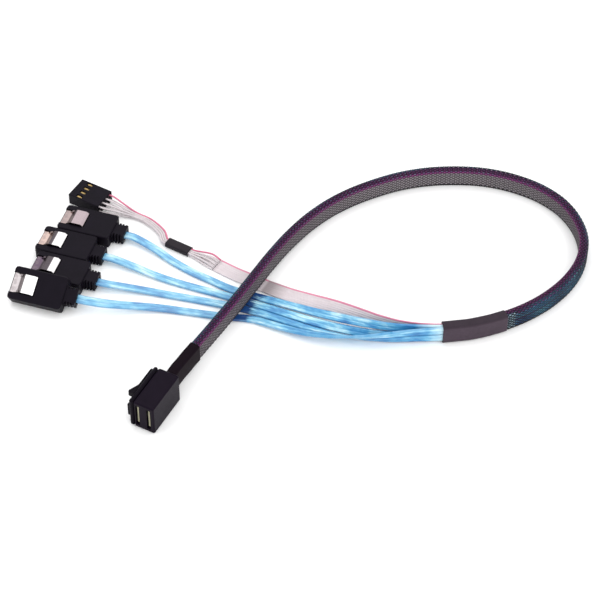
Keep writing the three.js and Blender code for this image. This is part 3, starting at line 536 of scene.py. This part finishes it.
class Nodes:
    """Short calls for building a material's nodes."""

    def __init__(self, name):
        self.material = bpy.data.materials.new(name)
        self.material.use_nodes = True
        self.tree = self.material.node_tree
        self.shader = self.tree.nodes["Principled BSDF"]

    def add(self, kind, inputs=None, **settings):
        node = self.tree.nodes.new(kind)
        for key, value in settings.items():
            setattr(node, key, value)
        for key, value in (inputs or {}).items():
            self.put(node.inputs[key], value)
        return node

    def put(self, socket, value):
        if isinstance(value, bpy.types.NodeSocket):
            self.tree.links.new(value, socket)
        else:
            socket.default_value = value

    def math(self, operation, a, b=0.0):
        return self.add("ShaderNodeMath", {0: a, 1: b}, operation=operation).outputs[0]

    def plus(self, a, b):
        return self.math("ADD", a, b)

    def minus(self, a, b):
        return self.math("SUBTRACT", a, b)

    def times(self, a, b):
        return self.math("MULTIPLY", a, b)

    def above(self, value, limit):
        """1 where the value is over the limit."""
        return self.math("GREATER_THAN", value, limit)

    def below(self, value, limit):
        return self.math("LESS_THAN", value, limit)

    def within(self, value, low, high):
        """1 between low and high."""
        return self.times(self.above(value, low), self.below(value, high))

    def vector(self, x, y=0.0, z=0.0):
        return self.add("ShaderNodeCombineXYZ", {"X": x, "Y": y, "Z": z}).outputs[0]

    def blend(self, share, a, b):
        node = self.add("ShaderNodeMix", data_type="RGBA")
        self.put(node.inputs["Factor"], share)
        for socket, value in ((node.inputs[6], a), (node.inputs[7], b)):
            self.put(socket, (*value, 1) if isinstance(value, tuple) else value)
        return node.outputs[2]

    def ramp(self, value, stops):
        node = self.add("ShaderNodeValToRGB", {"Fac": value})
        elements = node.color_ramp.elements
        elements[0].position, elements[1].position = stops[0][0], stops[-1][0]
        for place, _ in stops[1:-1]:
            elements.new(place)
        for element, (_, color) in zip(elements, stops):
            element.color = (*color, 1)
        return node.outputs["Color"]

    def spot(self):
        return self.add("ShaderNodeTexCoord").outputs["Object"]

    def map(self, name):
        """A map's two lengths, in metres. "route" has the distances along a cord and across it."""
        uv = self.add("ShaderNodeUVMap", uv_map=name).outputs["UV"]
        parts = self.add("ShaderNodeSeparateXYZ", {0: uv})
        return parts.outputs["X"], parts.outputs["Y"]

    def slope(self, value, low, high, at_low=0.0, at_high=1.0):
        """Runs evenly from one number to another while the value goes from low to high."""
        node = self.add("ShaderNodeMapRange", {"Value": value, "From Min": low, "From Max": high,
                                               "To Min": at_low, "To Max": at_high})
        return node.outputs["Result"]

    def band(self, value, start, full, fading, end):
        """1 from full to fading, and nothing before start or after end."""
        return self.times(self.slope(value, start, full), self.slope(value, fading, end, 1.0, 0.0))

    def noise(self, vector, scale, detail=3.0, roughness=0.55):
        node = self.add("ShaderNodeTexNoise", {"Vector": vector, "Scale": scale, "Detail": detail,
                                               "Roughness": roughness})
        return node.outputs["Fac"]

    def spread(self, value, low, high):
        """A 0 to 1 value spread between two others."""
        node = self.add("ShaderNodeMapRange", {"Value": value, "To Min": low, "To Max": high})
        return node.outputs["Result"]

    def bump(self, height, distance, strength):
        node = self.add("ShaderNodeBump", {"Height": height, "Distance": distance, "Strength": strength})
        self.put(self.shader.inputs["Normal"], node.outputs["Normal"])

    def set_specular(self, level):
        self.shader.inputs["Specular IOR Level"].default_value = level

    def finish(self, color, roughness, metallic=0.0, coat=0.0):
        self.put(self.shader.inputs["Base Color"], color)
        self.put(self.shader.inputs["Roughness"], roughness)
        self.put(self.shader.inputs["Metallic"], metallic)
        self.shader.inputs["Coat Weight"].default_value = coat
        self.shader.inputs["Coat Roughness"].default_value = COAT_ROUGHNESS
        return self.material


def moulded_plastic(name, dark, light, roughness, gloss):
    """Satin moulded plastic: fine spark texture, faint flow clouds and handling marks."""
    n = Nodes(name)
    spot = n.spot()
    clouds = n.noise(spot, scale=260, detail=4)
    grain = n.noise(spot, scale=9000, detail=2)
    rubbed = n.noise(spot, scale=900, detail=5, roughness=0.7)
    n.bump(grain, distance=0.03 * MM, strength=0.35)
    n.set_specular(gloss)
    return n.finish(n.blend(clouds, dark, light), n.spread(rubbed, roughness - 0.1, roughness + 0.14))


def local_spot(n, origin, degrees, lean=0.0):
    """Coordinates in a frame of their own: x along a heading, y to its left and z up."""
    node = n.add("ShaderNodeMapping", {"Vector": n.spot()}, vector_type="TEXTURE")
    node.inputs["Location"].default_value = tuple(origin)
    node.inputs["Rotation"].default_value = (math.radians(-lean), 0, math.radians(degrees))
    parts = n.add("ShaderNodeSeparateXYZ", {0: node.outputs["Vector"]})
    return node.outputs["Vector"], parts.outputs


def edge_card(name, card_y):
    """A circuit board: green mask, gold fingers proud of it and a pale laminate edge."""
    n = Nodes(name)
    spot, axes = local_spot(n, (0, 0, 0), HD_HEADING)
    off = n.math("ABSOLUTE", n.minus(axes["Y"], card_y))
    grain = n.noise(spot, scale=2600)
    green = n.blend(grain, (0.012, 0.075, 0.03), (0.02, 0.12, 0.05))
    laminate = n.blend(grain, (0.3, 0.28, 0.18), (0.44, 0.42, 0.28))
    gold = n.blend(grain, *CARD_GOLD)
    edge = n.below(off, CARD_THICK / 2 - CARD_MASK)
    finger = n.above(off, CARD_THICK / 2 + FINGER_RISE)
    color = n.blend(finger, n.blend(edge, green, laminate), gold)
    return n.finish(color, n.spread(grain, 0.3, 0.45), metallic=finger)


def contact_insulator(name, plug):
    """The plug's mouth piece: black with seven gold contacts on the floor of its slot."""
    n = Nodes(name)
    spot, axes = local_spot(n, sata_point(plug, 0, 0, 0), SATA_HEADING, sata_lean(plug))
    grain = n.noise(spot, scale=2400)
    lane = n.math("DIVIDE", n.plus(axes["Y"], CONTACT_SHIFT + CONTACT_PITCH / 2), CONTACT_PITCH)
    off = n.math("ABSOLUTE", n.minus(n.math("FRACT", lane), 0.5))
    on_contact = n.below(off, CONTACT_WIDTH / CONTACT_PITCH / 2 + 0.01)
    span = n.within(axes["Y"], -4 * CONTACT_PITCH - CONTACT_SPARE, 3 * CONTACT_PITCH + CONTACT_SPARE)
    low = n.within(axes["Z"], SATA_CONTACTS_FOOT, SATA_CONTACTS_TOP)
    mask = n.times(n.times(on_contact, span), low)
    black = n.blend(grain, (0.008, 0.007, 0.009), (0.02, 0.018, 0.022))
    color = n.blend(mask, black, n.blend(grain, *CARD_GOLD))
    return n.finish(color, n.spread(grain, 0.38, 0.55), metallic=mask)


def spring_steel(name, plug, foot, pad, glint):
    """Bright rolled strip with painted reflections: a smudged foot at the mouth, painted shade on the
    bend and the pad's front, then the raised pad, with a painted highlight from the glint on."""
    n = Nodes(name)
    spot, axes = local_spot(n, sata_point(plug, 0, 0, 0), SATA_HEADING, sata_lean(plug))
    x = axes["X"]
    stretched = n.add("ShaderNodeVectorMath", {0: spot, 1: (0.07, 1, 1)}, operation="MULTIPLY")
    lines = n.noise(stretched.outputs[0], scale=5200)
    smudge = n.noise(spot, scale=420)
    bend = n.within(x, LEAF_PAD - LEAF_SOFT, LEAF_BEND + LEAF_SOFT)
    raised = n.slope(x, glint - LEAF_SOFT, glint, 1.0, 0.0)
    # painted shade on the pad's front and on the bend, painted highlight on the pad from the glint on
    color = n.blend(n.below(x, LEAF_PAD), foot, (0.1, 0.085, 0.095))
    color = n.blend(raised, color, pad)
    color = n.blend(n.times(bend, 0.75), color, (0.08, 0.065, 0.07))
    smudged = n.times(n.times(n.slope(smudge, 0.5, 0.6), 0.4), n.above(x, LEAF_BEND))
    color = n.blend(smudged, color, (0.24, 0.2, 0.21))
    n.bump(lines, distance=0.01 * MM, strength=0.4)
    return n.finish(color, n.spread(lines, 0.2, 0.38), metallic=1.0)


def gold_plate(name):
    """Gold plating, paler where it is worn less."""
    n = Nodes(name)
    wear = n.noise(n.spot(), scale=1500, detail=4)
    color = n.blend(wear, (0.6, 0.44, 0.2), (0.36, 0.24, 0.09))
    return n.finish(color, n.spread(wear, 0.18, 0.4), metallic=1.0)


def film_jacket(name, seed, pale):
    """Clear blue film over foil: pale foil glints, deeper blue in a painted shadow of the loom, painted shade
    in the sleeve.
    """
    n = Nodes(name)
    along, across = n.map("route")
    patches = n.noise(n.vector(along, n.times(across, 2.5), seed * 0.37), scale=95, detail=2, roughness=0.5)
    streak = n.vector(n.times(along, 0.25), across, seed * 0.11)
    streaks = n.noise(streak, scale=1500, detail=2, roughness=0.5)
    tone = n.plus(n.times(patches, 0.72), n.times(streaks, 0.28))
    film = n.ramp(tone, [(0.3, (0.015, 0.13, 0.36)), (0.4, (0.04, 0.25, 0.52)), (0.49, (0.12, 0.42, 0.65)),
                         (0.58, pale), (0.7, (0.7, 0.88, 0.92))])
    off = n.math("ABSOLUTE", across)
    rim = n.above(off, CABLE_WIDTH / 2 - FILM_RIM)
    web = n.below(off, FILM_WEB)
    edge = n.times(n.math("MAXIMUM", rim, n.times(web, 0.7)), 0.55)
    bare = n.blend(edge, film, (0.01, 0.17, 0.42))
    to_plug = n.slope(along, *(trunk.length + d for d in PALE_TO_PLUG), 0.0, 0.12)
    bare = n.blend(to_plug, bare, (0.62, 0.8, 0.88))
    _, axes = local_spot(n, CROSSING, CROSSING_HEADING)
    uneven = n.times(n.minus(tone, 0.5), CROSSING_UNEVEN)
    # painted shadow of the loom: a darker, uneven band in the film beside the crossing
    painted_loom_shadow = n.band(n.plus(axes["X"], uneven), *FILM_LOOM_SHADOW)
    bare = n.blend(n.times(painted_loom_shadow, 0.95), bare, (0.002, 0.035, 0.17))
    at_breakout = n.slope(along, *(trunk.length + d for d in PALE_AT_BREAKOUT), 0.75, 0.0)
    bare = n.blend(at_breakout, bare, (0.62, 0.82, 0.87))
    # painted shade under the sleeve: the film in it is given darker tones, with purple edges
    inside = n.below(along, trunk.length - BREAKOUT_LENGTH)
    faces = n.ramp(patches, [(0.35, (0.03, 0.08, 0.28)), (0.5, (0.12, 0.34, 0.58)),
                             (0.65, (0.3, 0.72, 0.85))])
    color = n.blend(inside, bare, n.blend(rim, faces, (0.16, 0.016, 0.14)))
    wrap = n.math("SINE", n.plus(n.times(along, WRAP_ALONG), n.times(across, WRAP_ACROSS)))
    n.bump(n.plus(n.times(wrap, 0.3), streaks), distance=0.05 * MM, strength=0.5)
    return n.finish(color, n.spread(streaks, 0.22, 0.4), coat=0.35)


def ribbon_insulation(name):
    """Pale grey ribbon whose first conductor is marked pink, with painted shade in the sleeve and by the
    loom.
    """
    n = Nodes(name)
    along, across = n.map("route")
    streaks = n.noise(n.vector(n.times(along, 0.2), across), scale=1200)
    grey = n.blend(streaks, (0.72, 0.65, 0.67), (0.52, 0.45, 0.48))
    pink = n.blend(streaks, (0.72, 0.3, 0.4), (0.52, 0.14, 0.24))
    first = n.above(across, RIBBON_WIDTH / 2 - WIRE_PITCH)
    _, axes = local_spot(n, CROSSING, CROSSING_HEADING)
    # painted shadow of the loom: a darker grey band in the ribbon beside the crossing
    shaded = n.band(axes["X"], *RIBBON_LOOM_SHADOW)
    color = n.blend(n.times(shaded, 0.8), n.blend(first, grey, pink), (0.26, 0.22, 0.23))
    # painted shade under the sleeve: the ribbon and its pink conductor are darker where the sleeve holds them
    held = n.below(along, trunk.length - BREAKOUT_LENGTH)
    color = n.blend(held, color, n.blend(first, (0.5, 0.46, 0.49), (0.36, 0.08, 0.28)))
    n.bump(streaks, distance=0.03 * MM, strength=0.4)
    return n.finish(color, n.spread(streaks, 0.38, 0.55))


def wire_insulation(name, light, dark):
    """Coloured insulation with faint marks and faint rings along the wire."""
    n = Nodes(name)
    along, _ = n.map("route")
    marks = n.noise(n.spot(), scale=700)
    rings = n.noise(n.vector(along), scale=2600, detail=2)
    n.bump(rings, distance=0.02 * MM, strength=0.3)
    return n.finish(n.blend(marks, light, dark), n.spread(rings, 0.32, 0.5))


def monofilament(name):
    """Smoky polyester strand, which takes the tint of what lies behind it: the grey ribbon on the
    loom's inner face, blue film on the outer one and magenta film edges between the two."""
    n = Nodes(name)
    spot = n.spot()
    scuff = n.noise(spot, scale=1400)
    lines = n.noise(spot, scale=12000, detail=2)
    height, across = n.map("section")
    edges = n.blend(scuff, (0.012, 0.002, 0.012), (0.04, 0.01, 0.045))
    drift = n.slope(n.noise(spot, scale=60, detail=2), 0.4, 0.6)
    blue = n.blend(drift, (0.008, 0.01, 0.022), (0.014, 0.045, 0.075))
    grey = n.blend(scuff, (0.075, 0.066, 0.073), (0.125, 0.11, 0.122))
    top, side = SLEEVE_HEIGHT / 2, SLEEVE_THICK / 2
    high = n.slope(height, top - 1.2 * MM, top - 0.7 * MM)
    # painted shade: the strands turn near black along the loom's lower edge, which faces the floor
    low = n.slope(height, 0.7 * MM - top, 1.3 * MM - top, 1.0, 0.0)
    inner = n.slope(across, side - 0.6 * MM, side - 0.25 * MM)
    outer = n.slope(across, -0.8 * MM, -0.1 * MM, 1.0, 0.0)
    grey = n.blend(high, grey, (0.1, 0.022, 0.085))
    color = n.blend(inner, n.blend(outer, edges, blue), grey)
    color = n.blend(low, color, (0.005, 0.003, 0.006))
    n.bump(lines, distance=0.01 * MM, strength=0.4)
    n.set_specular(0.2)
    return n.finish(color, n.spread(scuff, 0.32, 0.55))


def heat_shrink(name, dark, light, gloss, half):
    """Shrunk tubing, so far from its middle to its rim: dull, with fine lines along it, faint pale
    scuffs and painted shade on its upper and lower edges."""
    n = Nodes(name)
    along, across = n.map("route")
    lines = n.noise(n.vector(n.times(along, 0.3), across), scale=2200)
    clouds = n.noise(n.spot(), scale=220, detail=4, roughness=0.6)
    unevenness = n.plus(lines, clouds)
    color = n.blend(n.times(unevenness, 0.5), dark, light)
    # painted shade: darker towards the tube's upper and lower edges
    rim = n.slope(n.math("ABSOLUTE", across), half - 1.1 * MM, half - 0.2 * MM, 0.0, 0.5)
    color = n.blend(rim, color, (0.006, 0.003, 0.006))
    n.bump(unevenness, distance=0.06 * MM, strength=0.5)
    n.set_specular(gloss)
    return n.finish(color, n.spread(lines, 0.38, 0.58))


def pale_floor(name):
    n = Nodes(name)
    grain = n.noise(n.spot(), scale=60)
    color = n.blend(grain, (0.98, 0.98, 0.98), (0.96, 0.96, 0.96))
    return n.finish(color, n.spread(grain, 0.75, 0.85))


# Braided sleeve: two families of strand bundles that pass over and under each other
def around_sleeve(share, width, height, radius):
    """Points and outward directions at shares of the way round the sleeve's section."""
    sides = [height / 2 - radius, math.pi / 2 * radius, width - 2 * radius, math.pi / 2 * radius,
             height - 2 * radius, math.pi / 2 * radius, width - 2 * radius, math.pi / 2 * radius,
             height / 2 - radius]
    ends = np.concatenate([[0], np.cumsum(sides)])
    walk = (share % 1.0) * ends[-1]
    part = np.clip(np.searchsorted(ends, walk, side="right") - 1, 0, len(sides) - 1)
    into = walk - ends[part]
    x, y = width / 2, height / 2
    starts = [[x, 0], [x - radius, y - radius], [x - radius, y], [radius - x, y - radius], [-x, y - radius],
              [radius - x, radius - y], [radius - x, -y], [x - radius, radius - y], [x, radius - y]]
    straight = {0: ([0, 1], [1, 0]), 2: ([-1, 0], [0, 1]), 4: ([0, -1], [-1, 0]), 6: ([1, 0], [0, -1]),
                8: ([0, 1], [1, 0])}
    places = np.zeros(share.shape + (2,))
    outward = np.zeros_like(places)
    for index, start in enumerate(starts):
        here = part == index
        if index in straight:
            way, out = (np.array(v, float) for v in straight[index])
            places[here] = np.array(start) + into[here][:, None] * way
            outward[here] = out
        else:
            angle = (index - 1) / 2 * math.pi / 2 + into[here] / radius
            ray = np.stack([np.cos(angle), np.sin(angle)], axis=1)
            places[here] = np.array(start) + radius * ray
            outward[here] = ray
    return places, outward, ends[-1]


def braid(name, way, material):
    """One family of strands. way is 1 or -1, the hand that they wind."""
    start = HD_CABLE_INSERT - HD_WALL
    end = trunk.length - BREAKOUT_LENGTH + SLEEVE_ENTRY
    width = SLEEVE_HEIGHT - STRAND_THICK
    height = SLEEVE_THICK - STRAND_THICK
    _, _, girth = around_sleeve(np.zeros(1), width, height, SLEEVE_CORNER)
    pitch = girth / math.tan(math.radians(BRAID_ANGLE))
    steps = math.ceil((end - start) / pitch * 2 * CARRIERS * STEPS_PER_CROSSING)
    distances = np.linspace(start, end, steps + 1)
    middles = trunk_points(distances)
    tangents, normals, binormals = frames(middles, on_edge(middles))
    crossings = (distances - start) / pitch * 2 * CARRIERS
    lift = way * BRAID_LIFT * np.cos(math.pi * crossings)
    slant = STRAND_WIDTH / math.cos(math.radians(BRAID_ANGLE))
    vertices, faces, in_section = [], [], []
    for carrier in range(CARRIERS):
        for strand in range(STRANDS):
            aside = (strand - (STRANDS - 1) / 2) * slant / girth
            share = carrier / CARRIERS + way * (distances - start) / pitch + aside
            ring = []
            ring_places = []
            for step_aside, step_out in ((-0.5, 0), (0, -0.5), (0.5, 0), (0, 0.5)):
                moved = share + step_aside * slant / girth
                places, outward, _ = around_sleeve(moved, width, height, SLEEVE_CORNER)
                flat = places + outward * (lift + step_out * STRAND_THICK)[:, None]
                ring.append(middles + normals * flat[:, :1] + binormals * flat[:, 1:])
                ring_places.append(flat)
            ring = np.stack(ring, axis=1)
            base = len(vertices) * ring.shape[0] * 4
            vertices.append(ring.reshape(-1, 3))
            faces += grid_faces(ring.shape[0], 4, start=base)
            faces.append([base + 3, base + 2, base + 1, base])
            last = base + (ring.shape[0] - 1) * 4
            faces.append([last, last + 1, last + 2, last + 3])
            in_section.append(np.stack(ring_places, axis=1).reshape(-1, 2))
    piece = add_mesh(name, np.vstack(vertices), faces, material)
    lay_map(piece, "section", *np.vstack(in_section).T)
    return piece, middles


def dress_cables():
    section = lobed(CABLE_WIDTH, CABLE_THICK, lobes=2, waist=0.72, per_lobe=7)
    tones = {"a": (0.36, 0.64, 0.77), "b": (0.36, 0.65, 0.76), "c": (0.33, 0.62, 0.76),
             "d": (0.26, 0.56, 0.74)}
    for seed, name in enumerate("abcd"):
        route = cable_route(name)
        material = film_jacket(f"film_jacket_{name}", seed + 1.0, tones[name])
        piece = sweep(f"data_cable_{name}", route, section, material)
        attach(piece, "root")
        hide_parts(f"sata_{name}_cable")


def dress_ribbon_and_wires():
    route = ribbon_route()
    section = lobed(RIBBON_WIDTH, RIBBON_THICK * 1.12, lobes=8, waist=0.45, per_lobe=5)
    ribbon = sweep("ribbon_cable", route, section, ribbon_insulation("ribbon_insulation"))
    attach(ribbon, "root")
    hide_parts("sideband_ribbon")
    circle = np.array([[WIRE_DIAMETER / 2 * math.cos(a), WIRE_DIAMETER / 2 * math.sin(a)]
                       for a in np.linspace(0, 2 * math.pi, WIRE_SIDES, endpoint=False)])
    grey = wire_insulation("wire_grey", (0.72, 0.66, 0.68), (0.5, 0.44, 0.46))
    pink = wire_insulation("wire_pink", (0.72, 0.24, 0.34), (0.5, 0.1, 0.2))
    shrink_points = np.array([shrink_along(SHRINK_LENGTH * share) + Z * wire_bundle_mid
                              for share in np.linspace(0, 1, SHRINK_STEPS)])
    gather = [(SIDE_COLUMNS - 1) * WIRE_PITCH + WIRE_DIAMETER + 2 * LAY,
              (SIDE_ROWS - 1) * WIRE_PITCH + WIRE_DIAMETER + 2 * LAY]
    outer_corner, inner_corner = SHRINK_CORNERS
    outer = round_rect(gather[0] + 2 * SHRINK_WALL, gather[1] + 2 * SHRINK_WALL, outer_corner, 6)
    inner = round_rect(*gather, inner_corner, 6)
    skin = heat_shrink("shrink_small", (0.006, 0.005, 0.007), (0.03, 0.024, 0.03), gloss=0.12, half=gather[0])
    shrink = tube("wire_shrink", (shrink_points, np.zeros(len(shrink_points))), outer, inner, skin,
                  lambda p: 0.03 * MM * waves(p, scale=2.5 * MM, seed=5))
    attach(shrink, "root")
    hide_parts("sideband_shrink")
    for pin in range(SIDE_ROWS * SIDE_COLUMNS):
        route = wire_route(pin)
        wire = sweep(f"single_wire_{pin + 1}", route, circle, grey if pin else pink)
        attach(wire, "root")
        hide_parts(f"sideband_wire_{pin + 1}")


def dress_sleeve():
    strands = monofilament("monofilament")
    first, middles = braid("sleeve_strands_left", 1, strands)
    second, _ = braid("sleeve_strands_right", -1, strands)
    outer_corner, inner_corner = TUBE_CORNERS
    outer = round_rect(SLEEVE_HEIGHT + TUBE_GROW, SLEEVE_THICK + TUBE_GROW, outer_corner, 8)
    inner = round_rect(SLEEVE_HEIGHT + 2 * LAY, SLEEVE_THICK + 2 * LAY, inner_corner, 8)
    boot_start = HD_CABLE_INSERT + FIT
    tubes = {
        "boot_shrink": ("hd_boot", boot_start, boot_start + BOOT_LENGTH,
                        (0.003, 0.0015, 0.003), (0.012, 0.006, 0.01), 0.03),
        "breakout_shrink": ("breakout_tube", trunk.length - BREAKOUT_LENGTH, trunk.length,
                            (0.025, 0.017, 0.025), (0.085, 0.06, 0.082), 0.12),
    }
    made = []
    for seed, (name, (node, start, end, dark, light, gloss)) in enumerate(tubes.items()):
        points = trunk_points(np.linspace(start, end, TUBE_STEPS))
        skin = heat_shrink(f"{name}_skin", dark, light, gloss, (SLEEVE_HEIGHT + TUBE_GROW) / 2)
        piece = tube(name, (points, on_edge(points)), outer, inner, skin,
                     lambda p, seed=seed: 0.05 * MM * waves(p, scale=6 * MM, seed=seed))
        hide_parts(node)
        made.append(piece)
    for piece in (first, second):
        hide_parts("trunk_sleeve")
    for piece in (first, second, *made):
        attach(piece, "root")


SHARP_EDGE = 38  # degrees between two faces, over which their edge is softened


def dress_plugs():
    shell = moulded_plastic("plug_shell", (0.004, 0.002, 0.006), (0.009, 0.005, 0.012), 0.36, 0.05)
    cover = moulded_plastic("plug_cover", (0.003, 0.002, 0.0045), (0.006, 0.0035, 0.008), 0.42, 0.05)
    small = moulded_plastic("plug_small", (0.003, 0.002, 0.0045), (0.007, 0.0045, 0.01), 0.42, 0.08)
    # painted reflections of one and the same steel, a set for each plug: foot, pad highlight, and where that
    # highlight starts
    painted_steel_reflections = {"a": ((0.42, 0.33, 0.32), (0.44, 0.36, 0.38), LEAF_PAD),
              "b": ((0.62, 0.47, 0.42), (0.86, 0.84, 0.84), LEAF_PAD - 1.2 * MM),
              "c": ((0.14, 0.1, 0.14), (0.86, 0.83, 0.84), LEAF_PAD - 2.2 * MM),
              "d": ((0.6, 0.55, 0.56), (0.98, 0.97, 0.97), LEAF_PAD)}
    gold = gold_plate("gold_plate")
    finishes = {"hd_plug_shell": shell, "hd_plug_cover": cover, "hd_plug_latch": cover,
                "sideband_housing": small}
    for side, way in (("left", -1), ("right", 1)):
        name = f"hd_card_{side}"
        finishes[name] = edge_card(f"{name}_board", HD_TRUNK_SHIFT + way * CARD_PITCH / 2)
    for plug in "abcd":
        finishes[f"sata_{plug}_shell"] = small
        finishes[f"sata_{plug}_latch_leaf"] = spring_steel(f"spring_steel_{plug}", plug, *painted_steel_reflections[plug])
        finishes[f"sata_{plug}_contact_block"] = contact_insulator(f"contact_insulator_{plug}", plug)
    for pin in range(SIDE_ROWS * SIDE_COLUMNS):
        finishes[f"sideband_terminal_{pin + 1}"] = gold
    for name, material in finishes.items():
        node = nodes[name]
        node.data.materials.clear()
        node.data.materials.append(material)
    widths = {"hd_plug_shell": 0.16 * MM, "hd_plug_cover": 0.14 * MM, "hd_plug_latch": 0.12 * MM,
              "sideband_housing": 0.1 * MM, **{f"sata_{plug}_shell": 0.12 * MM for plug in "abcd"}}
    for name, width in widths.items():
        edge = nodes[name].modifiers.new("softened_edges", "BEVEL")
        edge.width = width
        edge.segments = 2
        edge.limit_method = "ANGLE"
        edge.angle_limit = math.radians(SHARP_EDGE)


# Floor, light and camera
FLOOR_HALF = 3.0
FLOOR_DROP = 0.1 * MM  # under the cords, so that nothing shares its plane
WORLD_STRENGTH = 1.3
LIGHT_AIM = (0.05, 0.05, 0)


def add_light(name, place, size, power):
    light = bpy.data.lights.new(name, "AREA")
    light.shape = "RECTANGLE"
    light.size, light.size_y = size
    light.energy = power
    lamp = bpy.data.objects.new(name, light)
    lamp.location = place
    lamp.rotation_euler = (Vector(LIGHT_AIM) - Vector(place)).to_track_quat("-Z", "Y").to_euler()
    bpy.context.scene.collection.objects.link(lamp)


def add_studio():
    half, z = FLOOR_HALF, -FLOOR_DROP
    corners = [(-half, -half, z), (half, -half, z), (half, half, z), (-half, half, z)]
    floor = add_mesh("floor", corners, [(0, 1, 2, 3)], pale_floor("pale_floor"), smooth=False)
    world = bpy.data.worlds.new("studio")
    world.use_nodes = True
    background = world.node_tree.nodes["Background"]
    background.inputs["Color"].default_value = (1, 1, 1, 1)
    background.inputs["Strength"].default_value = WORLD_STRENGTH
    bpy.context.scene.world = world
    add_light("key", place=(0.9, -0.6, 1.1), size=(0.6, 0.5), power=3)
    add_light("top", place=(-0.2, 0.5, 1.6), size=(1.2, 1.2), power=3)
    bpy.context.scene.view_settings.view_transform = "Standard"


def add_camera():
    elevation = math.radians(CAMERA_ELEVATION)
    back = Vector((0, -math.cos(elevation), math.sin(elevation)))
    camera = bpy.data.cameras.new("camera")
    camera.sensor_width = SENSOR
    camera.lens = SENSOR * CAMERA_DISTANCE / MM * PIXELS_PER_MM / FRAME_PIXELS
    camera.clip_start = 0.01
    eye = bpy.data.objects.new("camera", camera)
    eye.location = Vector(CAMERA_AIM) + back * CAMERA_DISTANCE
    eye.rotation_euler = (math.pi / 2 - elevation, 0, 0)
    bpy.context.scene.collection.objects.link(eye)
    bpy.context.scene.camera = eye


add_camera()
add_studio()
dress_cables()
dress_ribbon_and_wires()
dress_sleeve()
dress_plugs()
